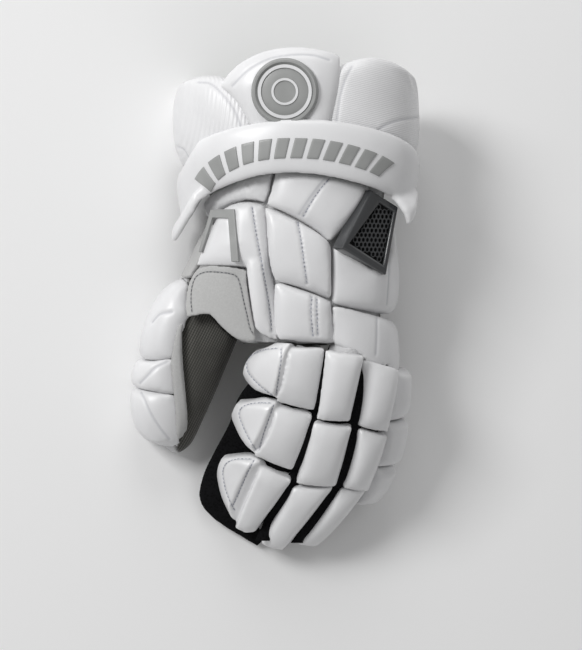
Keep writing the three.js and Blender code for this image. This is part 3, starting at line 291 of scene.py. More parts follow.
class Finish:
    """A material and the nodes that it is made of."""

    def __init__(self, name, **constants):
        self.material = bpy.data.materials.new(name)
        self.material.use_nodes = True
        self.tree = self.material.node_tree
        self.shader = self.tree.nodes["Principled BSDF"]
        for socket, value in constants.items():
            self.shader.inputs[socket.replace("_", " ")].default_value = value

    def node(self, kind, settings=None, inputs=None, output=0):
        made = self.tree.nodes.new(kind)
        for key, value in (settings or {}).items():
            setattr(made, key, value)
        for key, value in (inputs or {}).items():
            self.connect(made.inputs[key], value)
        return Value(self, made.outputs[output])

    def connect(self, socket, value):
        if isinstance(value, Value):
            self.tree.links.new(value.socket, socket)
        elif isinstance(value, (tuple, list)) and len(value) == 3 and socket.type == "RGBA":
            socket.default_value = (*value, 1.0)
        else:
            socket.default_value = value

    def set(self, socket, value):
        self.connect(self.shader.inputs[socket], value)

    def place(self, scale=(1, 1, 1), turn=(0, 0, 0)):
        """Object coordinates, turned and stretched for a pattern."""
        where = self.node("ShaderNodeTexCoord", output="Object")
        return self.node("ShaderNodeMapping", {}, {"Vector": where, "Rotation": turn, "Scale": scale})

    def attribute(self, name):
        return self.node("ShaderNodeAttribute", {"attribute_name": name}, output="Fac")

    def noise(self, scale, detail=2.0, distortion=0.0, where=None):
        return self.node("ShaderNodeTexNoise", {}, {
            "Vector": where or self.place(), "Scale": scale, "Detail": detail, "Distortion": distortion})

    def cells(self, scale, feature="F1"):
        return self.node(
            "ShaderNodeTexVoronoi", {"feature": feature}, {"Vector": self.place(), "Scale": scale}, "Distance")

    def waves(self, scale, where, distortion=0.0):
        return self.node("ShaderNodeTexWave", {"bands_direction": "X"}, {
            "Vector": where, "Scale": scale, "Distortion": distortion, "Detail": 1.0, "Detail Scale": 2.0})

    def blend(self, share, low, high):
        return self.node("ShaderNodeMix", {"data_type": "RGBA"}, {0: share, 6: low, 7: high}, output=2)

    def bump(self, *layers):
        """Layers of (height, strength, distance), each on top of the last."""
        normal = None
        for height, strength, distance in layers:
            inputs = {"Height": height, "Strength": strength, "Distance": distance}
            if normal:
                inputs["Normal"] = normal
            normal = self.node("ShaderNodeBump", {}, inputs)
        self.set("Normal", normal)


def darker(colour, share):
    return tuple(channel * share for channel in colour)


def leather_finish(name, ribs=None):
    """Smooth white leather, with painted shade in its seams, creases and crinkled folds and a painted highlight on
    its convex crests. ribs are their turn, pitch and strength.
    """
    finish = Finish(name, Specular_IOR_Level=0.5, Coat_Roughness=0.35, Subsurface_Weight=0.0)
    white = tuple(colours().leather)
    patches = finish.noise(38.0, 3.0)
    grain = finish.cells(1500.0, "DISTANCE_TO_EDGE")
    pores = finish.noise(2600.0, 1.0)
    seam = finish.attribute("seam")
    fold = finish.attribute("fold")
    wear = finish.attribute("wear")
    tone = finish.blend(patches.between(0.35, 0.7), white, darker(white, 0.95))
    # Painted shade: the leather is darker where the fold field marks crinkles, toward the ends of a pad.
    tone = finish.blend(fold * 0.5, tone, darker(white, 0.8))
    # Painted shade: leather along the seams and in the hollows is blended toward the crease shadow colour.
    tone = finish.blend(seam.between(0.3, 1.0) * 0.35, tone, tuple(colours().shadow))
    # Painted highlight: convex crests are lightened toward near white; their lower roughness and thicker coat are
    # real wear.
    tone = finish.blend(wear * 0.35, tone, (0.9, 0.9, 0.9))
    finish.set("Base Color", tone)
    finish.set("Roughness", patches * 0.12 + 0.33 - wear * 0.05 + seam * 0.2)
    finish.set("Coat Weight", 0.2 + wear * 0.15)
    wrinkles = finish.noise(150.0, 4.0, 1.2, finish.place((1.0, 0.45, 1.0), (0.0, 0.0, 0.35)))
    crinkles = finish.noise(520.0, 3.0, 1.5, finish.place((0.6, 1.0, 1.0)))
    layers = [
        (wrinkles * fold, 0.55, 0.9 * MM),
        (crinkles * (fold * 0.7 + 0.12), 0.35, 0.3 * MM),
        (grain, 0.10, 0.15 * MM),
        (pores, 0.05, 0.1 * MM),
    ]
    if ribs:
        turn, pitch, strength = ribs
        layers.append((finish.waves(1 / pitch / WAVE_LENGTH, finish.place(turn=turn)), strength, 0.35 * MM))
    finish.bump(*layers)
    return finish.material


def suede_finish(name, colour):
    finish = Finish(name, Specular_IOR_Level=0.25, Sheen_Weight=0.25, Sheen_Roughness=0.5)
    nap = finish.noise(900.0, 4.0, 0.6)
    fibres = finish.noise(3200.0, 2.0)
    broad = finish.noise(45.0, 2.0)
    seam = finish.attribute("seam")
    tone = finish.blend(nap.between(0.3, 0.75), darker(colour, 0.94), darker(colour, 1.05))
    tone = finish.blend(broad.between(0.35, 0.75) * 0.4, tone, darker(colour, 0.92))
    # Painted shade: the suede is darkened along its pressed seam and in its hollows.
    tone = finish.blend(seam.between(0.2, 1.0) * 0.7, tone, darker(colour, 0.45))
    finish.set("Base Color", tone)
    finish.set("Roughness", nap * 0.1 + 0.84)
    finish.bump((nap, 0.25, 0.3 * MM), (fibres, 0.3, 0.12 * MM))
    return finish.material


def cloth_finish(name, colour, pitch, turn=(0, 0, 0), back=None):
    """Woven or ribbed cloth: two crossed waves of thread, and darker patches at random. back is its colour where the
    back field is set."""
    finish = Finish(name, Specular_IOR_Level=0.3, Sheen_Weight=0.2, Sheen_Roughness=0.4)
    scale = 1 / pitch / WAVE_LENGTH
    warp = finish.waves(scale, finish.place(turn=turn), 0.6)
    weft = finish.waves(scale, finish.place(turn=(turn[0], turn[1], turn[2] + math.pi / 2)), 0.6)
    weave = warp * 0.7 + weft * 0.3
    broad = finish.noise(30.0, 3.0, 0.8)
    tone = finish.blend(weave.between(0.25, 0.85), darker(colour, 0.55), darker(colour, 1.5))
    tone = finish.blend(broad.between(0.4, 0.7) * 0.55, tone, darker(colour, 0.5))
    if back:
        tone = finish.blend(finish.attribute("back"), tone, back)
    finish.set("Base Color", tone)
    finish.set("Roughness", weave * 0.1 + 0.8)
    finish.bump((weave, 0.6, 0.35 * MM), (finish.noise(900.0, 2.0), 0.2, 0.1 * MM))
    return finish.material


def knit_finish(name, colour, back):
    finish = Finish(name, Specular_IOR_Level=0.12)
    holes = finish.cells(620.0)
    open_share = holes.between(0.25, 0.55)
    tone = finish.blend(open_share, darker(colour, 0.4), darker(colour, 1.6))
    finish.set("Base Color", finish.blend(finish.attribute("back"), tone, back))
    finish.set("Roughness", open_share * 0.1 + 0.85)
    finish.bump((open_share, 0.5, 0.3 * MM), (finish.noise(1500.0, 2.0), 0.15, 0.1 * MM))
    return finish.material


def moulded_finish(name, colour, roughness, coat=0.0):
    finish = Finish(name, Specular_IOR_Level=0.5, Coat_Roughness=0.15, Coat_Weight=coat)
    texture = finish.noise(900.0, 2.0)
    broad = finish.noise(60.0, 2.0)
    finish.set("Base Color", finish.blend(broad.between(0.3, 0.7), colour, darker(colour, 0.88)))
    finish.set("Roughness", broad * 0.12 + roughness)
    finish.bump((texture, 0.12, 0.1 * MM))
    return finish.material


def thread_finish(name, colour):
    finish = Finish(name, Specular_IOR_Level=0.3)
    twist = finish.waves(700.0, finish.place(turn=(0.4, 0.3, 0.7)))
    finish.set("Base Color", finish.blend(twist, darker(colour, 0.7), darker(colour, 1.2)))
    finish.set("Roughness", twist * 0.1 + 0.6)
    finish.bump((twist, 0.3, 0.1 * MM))
    return finish.material


FINISHES = {}


def finish_of(name):
    """The material of a name, made once."""
    if name not in FINISHES:
        c = colours()
        leather, suede, fabric, mesh = tuple(c.leather), tuple(c.suede), tuple(c.fabric), tuple(c.mesh)
        trim, vent, thread = tuple(c.trim), tuple(c.vent), tuple(c.thread)
        back = darker(leather, 0.8)
        make, *details = {
            "white_leather": (leather_finish,),
            "ribbed_leather": (leather_finish, ((0, 0, 0.12), 2.3 * MM, 0.5)),
            "fine_ribbed_leather": (leather_finish, ((0, 0, 1.3), 1.25 * MM, 0.3)),
            "suede": (suede_finish, suede),
            "welt_suede": (suede_finish, darker(suede, 0.98)),
            "palm_leather": (suede_finish, tuple(c.palm)),
            "inner_cloth": (cloth_finish, fabric, 1.5 * MM, (0, 0, 0.45), back),
            "shell_cloth": (cloth_finish, darker(fabric, 0.5), 1.2 * MM, (0, 0, 0), back),
            "black_mesh": (knit_finish, mesh, back),
            "elastic": (cloth_finish, darker(mesh, 1.4), 1.6 * MM, (0, 0, 1.57)),
            "lining_cloth": (cloth_finish, tuple(c.lining), 1.0 * MM),
            "vent_plastic": (moulded_finish, vent, 0.26, 0.5),
            "vent_shadow": (moulded_finish, darker(vent, 0.12), 0.7),
            "grey_trim": (moulded_finish, trim, 0.42, 0.1),
            "white_trim": (moulded_finish, leather, 0.4, 0.15),
            "thread": (thread_finish, thread),
            "dark_thread": (thread_finish, darker(thread, 0.3)),
        }[name]
        FINISHES[name] = make(name, *details)
    return FINISHES[name]


# Meshes
def new_piece(name, shape):
    """An object of a bmesh, which it frees, at the origin."""
    mesh = bpy.data.meshes.new(name)
    shape.to_mesh(mesh)
    shape.free()
    piece = bpy.data.objects.new(name, mesh)
    bpy.context.scene.collection.objects.link(piece)
    return piece


def merged_shape(node, crease=0.0):
    """A bmesh of a node of the model: corners shared, flat pairs of triangles joined and rims creased."""
    shape = bmesh.new()
    shape.from_mesh(frame["nodes"][node].data)
    bmesh.ops.remove_doubles(shape, verts=shape.verts, dist=1e-6)
    bmesh.ops.join_triangles(
        shape, faces=shape.faces, angle_face_threshold=0.45, angle_shape_threshold=0.8, cmp_seam=False,
        cmp_sharp=False, cmp_uvs=False, cmp_vcols=False, cmp_materials=False)
    if crease:
        layer = shape.edges.layers.float.new("crease_edge")
        for edge in shape.edges:
            edge[layer] = crease if edge.calc_face_angle(0) > RIM_ANGLE else 0.0
    return shape


def modify(piece, name, kind, **settings):
    modifier = piece.modifiers.new(name, kind)
    for key, value in settings.items():
        setattr(modifier, key, value)


def soften(piece, width, segments):
    modify(piece, "soft_edge", "BEVEL", width=width, segments=segments, profile=0.5)


def apply_modifiers(piece):
    bpy.context.view_layer.update()
    graph = bpy.context.evaluated_depsgraph_get()
    mesh = bpy.data.meshes.new_from_object(piece.evaluated_get(graph))
    old = piece.data
    piece.modifiers.clear()
    piece.data = mesh
    mesh.name = piece.name
    bpy.data.meshes.remove(old)


def numbers_of(items, name, width, kind=float):
    """A value of every item of a mesh, such as its place, as rows of numbers."""
    numbers = np.empty(len(items) * width, dtype=kind)
    items.foreach_get(name, numbers)
    return numbers.reshape(-1, width)


def points_of(mesh):
    return numbers_of(mesh.vertices, "co", 3)


def normals_of(mesh):
    return numbers_of(mesh.vertex_normals, "vector", 3)


def edges_of(mesh):
    return numbers_of(mesh.edges, "vertices", 2, np.int64)


def put_points(mesh, points):
    mesh.vertices.foreach_set("co", points.ravel())
    mesh.update()


def neighbour_mean(values, edges, count):
    """The mean of each point's neighbours."""
    total = np.zeros((count, values.shape[1]))
    np.add.at(total, edges[:, 0], values[edges[:, 1]])
    np.add.at(total, edges[:, 1], values[edges[:, 0]])
    number = np.bincount(edges.ravel(), minlength=count).reshape(-1, 1)
    return total / np.maximum(number, 1)


def relax(mesh, rounds, keep):
    """Smooths a mesh. keep from 0 to 1 gives back what smoothing takes from its volume."""
    points, edges = points_of(mesh), edges_of(mesh)
    for _ in range(rounds):
        points += (neighbour_mean(points, edges, len(points)) - points) * 0.6
        points -= (neighbour_mean(points, edges, len(points)) - points) * 0.6 * keep
    put_points(mesh, points)


def add_field(mesh, name, values):
    layer = mesh.attributes.get(name) or mesh.attributes.new(name, "FLOAT", "POINT")
    layer.data.foreach_set("value", np.asarray(values, dtype=np.float32))


def field_of(mesh, name):
    layer = mesh.attributes.get(name)
    values = np.zeros(len(mesh.vertices), dtype=np.float32)
    if layer:
        layer.data.foreach_get("value", values)
    return values


def soft_piece(name, node, grid, levels, rounds, keep, swell=0.0):
    """A smooth copy of a node: rounded by subdivision, remeshed on an even grid, relaxed and swollen."""
    piece = new_piece(name, merged_shape(node, 1.0))
    modify(piece, "rounding", "SUBSURF", levels=levels, render_levels=levels)
    modify(piece, "even", "REMESH", mode="VOXEL", voxel_size=grid)
    apply_modifiers(piece)
    mesh = piece.data
    relax(mesh, rounds, keep)
    if swell:
        put_points(mesh, points_of(mesh) + normals_of(mesh) * swell)
    rest_on_table(mesh)
    if node in DRAWN_OUT:
        draw_out(piece, DRAWN_OUT[node])
    mesh.shade_smooth()
    return piece


def rest_on_table(mesh):
    points = points_of(mesh)
    points[:, 2] = np.maximum(points[:, 2], 0)
    put_points(mesh, points)


def thin_piece(name, node, levels):
    """A smooth copy of a thin-walled node, which a remesh would tear."""
    piece = new_piece(name, merged_shape(node))
    modify(piece, "rounding", "SUBSURF", levels=levels, render_levels=levels)
    apply_modifiers(piece)
    rest_on_table(piece.data)
    piece.data.shade_smooth()
    return piece


def stand_for(piece, finish, nodes=()):
    """Gives a finished piece its material, attaches it to the root body and hides the nodes that it stands for."""
    piece.data.materials.clear()
    piece.data.materials.append(finish_of(finish))
    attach(piece, "root")
    if nodes:
        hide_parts(*nodes)


def join_rows(shape, rows, closed=False):
    """Fills the strips between rows of corners with faces. closed rows meet their own start and each other's."""
    for one, two in zip(rows, rows[1:] + (rows[:1] if closed else [])):
        for place in range(len(one) if closed else len(one) - 1):
            after = (place + 1) % len(one)
            shape.faces.new((one[place], one[after], two[after], two[place]))
    bmesh.ops.recalc_face_normals(shape, faces=shape.faces)


# Lines on surfaces
def pixel_ray(pixel):
    """Where the camera stands, and the way from it to a pixel."""
    way = (
        ACROSS * (pixel[0] - PICTURE_MIDDLE[0]) * PIXEL
        + ALONG * (PICTURE_MIDDLE[1] - pixel[1]) * PIXEL
        - TOWARD * CAMERA_DISTANCE
    )
    return CAMERA_PLACE, way.normalized()


def smooth_line(corners, step=1.0):
    """A smooth line through pixels, as evenly spaced points."""
    corners = [Vector((*corner, 0)) for corner in corners]
    ends = [corners[0] * 2 - corners[1], *corners, corners[-1] * 2 - corners[-2]]
    fine = []
    for start in range(len(corners) - 1):
        a, b, c, d = ends[start:start + 4]
        for part in range(12):
            t = part / 12
            fine.append(0.5 * ((2 * b) + (c - a) * t + (2 * a - 5 * b + 4 * c - d) * t * t
                               + (3 * b - a - 3 * c + d) * t ** 3))
    fine.append(corners[-1])
    line, left = [fine[0]], step
    for start, end in zip(fine, fine[1:]):
        length = (end - start).length
        while length > left:
            start = start.lerp(end, left / length)
            length = (end - start).length
            line.append(start)
            left = step
        left -= length
    return line


def pixels_of(points):
    """The pixel on which each point is seen, and its distance from the camera."""
    away = points - np.array(CAMERA_PLACE)
    depth = -(away @ np.array(TOWARD))
    scale = CAMERA_DISTANCE / depth / PIXEL
    across = PICTURE_MIDDLE[0] + away @ np.array(ACROSS) * scale
    return np.stack([across, PICTURE_MIDDLE[1] - away[:, 1] * scale], 1), depth


def plate_bend(ones, others):
    """How much a thin plate that is held at the second pixels gives at the first, for each of them."""
    apart = np.linalg.norm(ones[:, None] - others[None], axis=2)
    return np.where(apart > 0, apart ** 2 * np.log(np.maximum(apart, 1e-9)), 0)


def draw_out(piece, moves):
    """Moves a piece across the view, each first pixel of a move to its second and smoothly between them."""
    points = points_of(piece.data)
    seen, depth = pixels_of(points)
    starts, ends = np.split(np.array(moves, float), 2, axis=1)
    flat = np.column_stack([np.ones(len(starts)), starts])
    stiff = plate_bend(starts, starts) + PLATE_EASE * np.eye(len(starts))
    system = np.block([[stiff, flat], [flat.T, np.zeros((3, 3))]])
    shares = np.linalg.solve(system, np.vstack([ends - starts, np.zeros((3, 2))]))
    reach = plate_bend(seen, starts)
    move = reach @ shares[:-3] + np.column_stack([np.ones(len(seen)), seen]) @ shares[-3:]
    size = (depth / CAMERA_DISTANCE * PIXEL)[:, None]
    points += np.array(ACROSS) * move[:, :1] * size - np.array(ALONG) * move[:, 1:] * size
    put_points(piece.data, points)
    rest_on_table(piece.data)


def plate_axis(points):
    """The upward normal of a flat plate."""
    axis = Vector(np.linalg.svd(points - points.mean(0), full_matrices=False)[2][2])
    return axis * math.copysign(1, axis.z)


def at_height(pixel, height):
    """The point that is seen on a pixel and lies at a height above the table."""
    start, way = pixel_ray(pixel)
    return start + way * ((height - start.z) / way.z)


def tree_of(pieces):
    """A search tree over the faces of some pieces."""
    corners, faces = [], []
    for piece in pieces:
        faces += [tuple(len(corners) + corner for corner in face.vertices) for face in piece.data.polygons]
        corners += [vertex.co.copy() for vertex in piece.data.vertices]
    return BVHTree.FromPolygons(corners, faces)


def line_on(piece, pixels):
    """Points and normals of a line of pixels where it meets a piece."""
    tree = tree_of([piece])
    found = []
    for pixel in smooth_line(pixels, 0.8):
        start, way = pixel_ray(pixel)
        place, normal, _, _ = tree.ray_cast(start, way)
        if place:
            found.append((place, normal))
    return found


def press_seam(piece, line, width, depth, pucker=0.0):
    """Presses a line into a mesh and marks it in the seam field."""
    mesh = piece.data
    points, normals = points_of(mesh), normals_of(mesh)
    marks = np.array([place for place, _ in line])
    near = np.full(len(points), 1e9)
    which = np.zeros(len(points), dtype=int)
    for number, mark in enumerate(marks):
        apart = ((points - mark) ** 2).sum(1)
        closer = apart < near
        near[closer] = apart[closer]
        which[closer] = number
    share = np.exp(-near / width ** 2)
    ripple = 1.0 + pucker * np.sin(which * 2.1)
    put_points(mesh, points - normals * (share * ripple * depth)[:, None])
    add_field(mesh, "seam", np.maximum(field_of(mesh, "seam"), share))


def mark_edges(piece):
    """Marks convex edges as worn, which the leather also lightens as a painted highlight, and hollow ones as creased,
    which the finishes darken as painted shade, from the bend of the mesh.
    """
    mesh = piece.data
    points, normals, edges = points_of(mesh), normals_of(mesh), edges_of(mesh)
    bend = ((points - neighbour_mean(points, edges, len(points))) * normals).sum(1).reshape(-1, 1)
    for _ in range(6):
        bend = neighbour_mean(bend, edges, len(points)) * 0.5 + bend * 0.5
    bend = bend[:, 0]
    top = max(np.percentile(bend, 97), 1e-9)
    add_field(mesh, "wear", np.clip(bend / top, 0, 1))
    hollow = np.clip(-bend / top, 0, 1)
    add_field(mesh, "seam", np.maximum(field_of(mesh, "seam"), hollow * 0.6))


def mark_ends(piece, axis, reach, floor):
    """Marks a piece as crinkled toward both its ends, and everywhere by the floor."""
    mesh = piece.data
    points = points_of(mesh)
    along = points @ np.array(axis)
    low, high = along.min(), along.max()
    edge = np.minimum(along - low, high - along)
    uneven = 1 + np.array([noise.noise(Vector(point) * 140) for point in points])
    add_field(mesh, "fold", np.clip(np.exp(-edge / reach) * uneven + floor * uneven, 0, 1))


def mark_back(piece, end):
    """Marks the part of the hand's cloth that faces up between the pads, as far as a place along the fingers."""
    facing = normals_of(piece.data) @ np.array(TOWARD)
    along = points_of(piece.data)[:, 1]
    add_field(piece.data, "back", np.clip(facing * 3 - 0.3, 0, 1) * (along > end))


def crinkle(piece, strength, scale=(160, 90, 160)):
    """Moves a mesh by folds that run across it, where its fold field is strong."""
    mesh = piece.data
    points, normals = points_of(mesh), normals_of(mesh)
    fold = field_of(mesh, "fold")
    waves = np.array([
        noise.noise(Vector((x * scale[0], y * scale[1], z * scale[2]))) + 0.5 * noise.noise(Vector((x, y, z)) * 420)
        for x, y, z in points])
    put_points(mesh, points + normals * (waves * fold * strength)[:, None])
    rest_on_table(mesh)


def leather_pad(
        node, grid, rounds, keep, swell, ends=None, creases=0, seams=(), folds=(), finish="white_leather"):
    """A padded leather piece. ends are the axis, reach and floor of its crinkles, seams and folds the width and
    depth of its seams with and without thread. Returns the lines of its thread."""
    pad = soft_piece(f"{node}_leather", node, grid, 2, rounds, keep, swell)
    for line in SEAMS.get(node, ()):
        press_seam(pad, line_on(pad, line), *seams, 0.5)
    for line in FOLDS.get(node, ()):
        press_seam(pad, line_on(pad, line), *folds)
    if ends:
        mark_ends(pad, *ends)
        crinkle(pad, creases)
    mark_edges(pad)
    stand_for(pad, finish, [node])
    return [line_on(pad, line) for line in SEAMS.get(node, ())]


def stitch_shape(shape, place, along, normal, length, radius):
    """Adds one stitch: a short rounded bar that lies along the seam."""
    side = along.cross(normal).normalized()
    turn = Matrix((side, normal, along)).transposed().to_4x4()
    turn.translation = place
    bar = bmesh.ops.create_cone(
        shape, cap_ends=True, cap_tris=False, segments=6, radius1=radius * 0.6, radius2=radius * 0.6, depth=length,
        matrix=turn)
    middle = [edge for edge in {edge for vertex in bar["verts"] for edge in vertex.link_edges}
              if abs((edge.verts[0].co - edge.verts[1].co).dot(along)) > length / 2]
    halved = bmesh.ops.subdivide_edges(shape, edges=middle, cuts=1, use_grid_fill=False)
    for vertex in (item for item in halved["geom_inner"] if isinstance(item, bmesh.types.BMVert)):
        away = vertex.co - place
        away -= along * away.dot(along)
        vertex.co += away * 0.7


def sew(name, lines, lift=0.05 * MM, finish="thread"):
    """One piece of all the stitches along lines of points and normals."""
    size = sizes()
    shape = bmesh.new()
    for line in lines:
        travelled, due = 0.0, size.stitch_pitch / 2
        for (start, normal), (end, _) in zip(line, line[1:]):
            step = end - start
            travelled += step.length
            if travelled >= due:
                due += size.stitch_pitch
                stitch_shape(shape, start + normal * lift, step.normalized(), normal, size.stitch_length, size.thread)
    bmesh.ops.recalc_face_normals(shape, faces=shape.faces)
    piece = new_piece(name, shape)
    piece.data.shade_smooth()
    stand_for(piece, finish)


class GLOVE_OT_hand(bpy.types.Operator):
    """Makes the cloth of the hand and the black mesh of the fingers"""
    bl_idname = "glove.hand"
    bl_label = "Hand and fingers"

    def execute(self, context):
        shell = thin_piece("hand_cloth", "hand_shell", 1)
        mark_back(shell, -45 * MM)
        stand_for(shell, "shell_cloth", ["hand_shell"])
        for finger in FINGERS:
            node = f"sleeve_{finger}"
            stall = thin_piece(f"{finger}_mesh", node, 2)
            mark_back(stall, -37 * MM)
            stand_for(stall, "black_mesh", [node])
        self.side_gusset()
        return {"FINISHED"}

    def side_gusset(self):
        """The black mesh that stands out below the side lobes of the index finger, toward the thumb."""
        rows, columns = 60, 12
        inner = smooth_line(GUSSET_INNER)
        outer = smooth_line(GUSSET_OUTER)
        places = np.linspace(0, 1, len(GUSSET_HIGH))
        shape = bmesh.new()
        grid = []
        for row in range(rows + 1):
            share = row / rows
            first, last = (line[round(share * (len(line) - 1))] for line in (inner, outer))
            high = float(np.interp(share, places, GUSSET_HIGH))
            low = float(np.interp(share, places, GUSSET_LOW))
            grid.append([])
            for column in range(columns + 1):
                out = column / columns
                height = high + (low - high) * out ** 1.4
                grid[-1].append(shape.verts.new(at_height(first.lerp(last, out), height * MM)))
        join_rows(shape, grid)
        gusset = new_piece("index_gusset_mesh", shape)
        modify(gusset, "wall", "SOLIDIFY", thickness=2.4 * MM, offset=0)
        modify(gusset, "even", "REMESH", mode="VOXEL", voxel_size=sizes().cloth_grid)
        apply_modifiers(gusset)
        relax(gusset.data, 8, 0.5)
        rest_on_table(gusset.data)
        gusset.data.shade_smooth()
        stand_for(gusset, "black_mesh")


class GLOVE_OT_thumb(bpy.types.Operator):
    """Makes the thumb: its grey cloth, its padded back with pressed ridges, and the suede welt between them"""
    bl_idname = "glove.thumb"
    bl_label = "Thumb"

    def execute(self, context):
        size = sizes()
        inner = soft_piece("thumb_cloth", "sleeve_thumb", size.cloth_grid * 1.1, 2, 6, 0.6)
        seen, _ = pixels_of(points_of(inner.data))
        edge = np.interp(seen[:, 1], [300, 330, 370, 410, 450, 462], [190, 172, 164, 168, 178, 190])
        add_field(inner.data, "back", np.clip((edge - seen[:, 0]) / 4, 0, 1))
        stand_for(inner, "inner_cloth", ["sleeve_thumb"])
        for node in THUMB_PADS:
            leather_pad(
                node, size.leather_grid, 9, 0.4, size.swell * 1.8, ((0.25, 0.97, 0), 3 * MM, 0.1), 0.25 * MM,
                folds=(size.seam_width * 1.3, size.seam_depth))
        welt = soft_piece("thumb_welt_suede", "thumb_welt", size.cloth_grid, 2, 8, 0.5, 0.15 * MM)
        mark_edges(welt)
        stand_for(welt, "welt_suede", ["thumb_welt"])
        return {"FINISHED"}


class GLOVE_OT_finger_rolls(bpy.types.Operator):
    """Makes the padded leather rolls of the fingers, with the sewn side lobes of the index finger"""
    bl_idname = "glove.finger_rolls"
    bl_label = "Finger rolls"

    def execute(self, context):
        size = sizes()
        threads = []
        for finger in FINGERS:
            for number in (1, 2, 3):
                threads += leather_pad(
                    f"roll_{finger}_{number}", size.leather_grid, 7, 0.5, size.swell,
                    ((0.28, 0.96, 0.0), 2.6 * MM, 0.12), 0.35 * MM, seams=(size.seam_width, size.seam_depth * 0.8))
        sew("roll_stitching", threads)
        self.finger_gaps()
        return {"FINISHED"}

    def finger_gaps(self):
        """The black mesh between the fingers, just below the edges of the rolls on both sides."""
        rolls = [item for item in bpy.data.objects if item.name.startswith("roll_") and "leather" in item.name]
        tree = tree_of(rolls)
        shape = bmesh.new()
        for gap in FINGER_GAPS:
            heights = []
            line = smooth_line(gap, 1.5)
            for pixel in line:
                near = [tree.ray_cast(*pixel_ray(pixel + Vector((reach, 0, 0))))[0] for reach in (-9, 9)]
                near = [place.z for place in near if place]
                heights.append(min(near) if len(near) == 2 else heights[-1] if heights else 60 * MM)
            heights = np.convolve(np.pad(heights, 4, mode="edge"), np.ones(9) / 9, mode="valid") - 3.0 * MM
            rows = []
            for pixel, height in zip(line, heights):
                places = [(pixel + Vector((reach, 0, 0)), max(height, 3 * MM) - abs(reach) * 0.1 * MM)
                          for reach in (-7, -3, 0, 3, 7)]
                rows.append([shape.verts.new(at_height(*place)) for place in places])
            join_rows(shape, rows)
        strips = new_piece("finger_gap_mesh", shape)
        modify(strips, "wall", "SOLIDIFY", thickness=1.0 * MM, offset=-1)
        apply_modifiers(strips)
        strips.data.shade_smooth()
        stand_for(strips, "black_mesh")


class GLOVE_OT_back_pads(bpy.types.Operator):
    """Makes the padded leather of the back of the hand with its double seams"""
    bl_idname = "glove.back_pads"
    bl_label = "Back pads"

    def execute(self, context):
        size = sizes()
        threads = []
        for node in BACK_PADS:
            threads += leather_pad(
                node, size.leather_grid, 8, 0.5, size.swell * 1.5, ((0.0, 1.0, 0.0), 3.2 * MM, 0.08), 0.3 * MM,
                seams=(size.seam_width * 1.3, size.seam_depth * 1.1),
                folds=(size.seam_width * 1.3, size.seam_depth * 0.5))
        sew("back_stitching", threads)
        return {"FINISHED"}


class GLOVE_OT_thumb_side(bpy.types.Operator):
    """Makes the suede patch, the strap, the soft gusset at the wrist and the grey inlay"""
    bl_idname = "glove.thumb_side"
    bl_label = "Thumb side"

    def execute(self, context):
        size = sizes()
        patch = soft_piece("web_patch_suede", "web_patch", size.cloth_grid, 2, 8, 0.5, 0.2 * MM)
        seam = line_on(patch, SUEDE_SEAM)
        press_seam(patch, seam, size.seam_width * 0.8, size.seam_depth * 0.35, pucker=0.4)
        mark_edges(patch)
        stand_for(patch, "suede", ["web_patch"])
        sew("patch_stitching", [line_on(patch, SUEDE_SEAM)], 0.15 * MM, "dark_thread")
        strap = soft_piece("thumb_strap_suede", "thumb_strap", size.cloth_grid, 1, 5, 0.5)
        mark_edges(strap)
        stand_for(strap, "suede", ["thumb_strap"])
        gusset = soft_piece("wrist_gusset_leather", "wrist_gusset", size.leather_grid, 2, 10, 0.4, 0.3 * MM)
        mark_ends(gusset, (0.6, 0.8, 0.0), 12 * MM, 0.5)
        crinkle(gusset, 0.8 * MM, (120, 90, 120))
        mark_edges(gusset)
        stand_for(gusset, "white_leather", ["wrist_gusset"])
        bar = new_piece("inlay_trim", merged_shape("chevron_inlay"))
        soften(bar, 0.35 * MM, 3)
        apply_modifiers(bar)
        stand_for(bar, "grey_trim", ["chevron_inlay"])
        return {"FINISHED"}


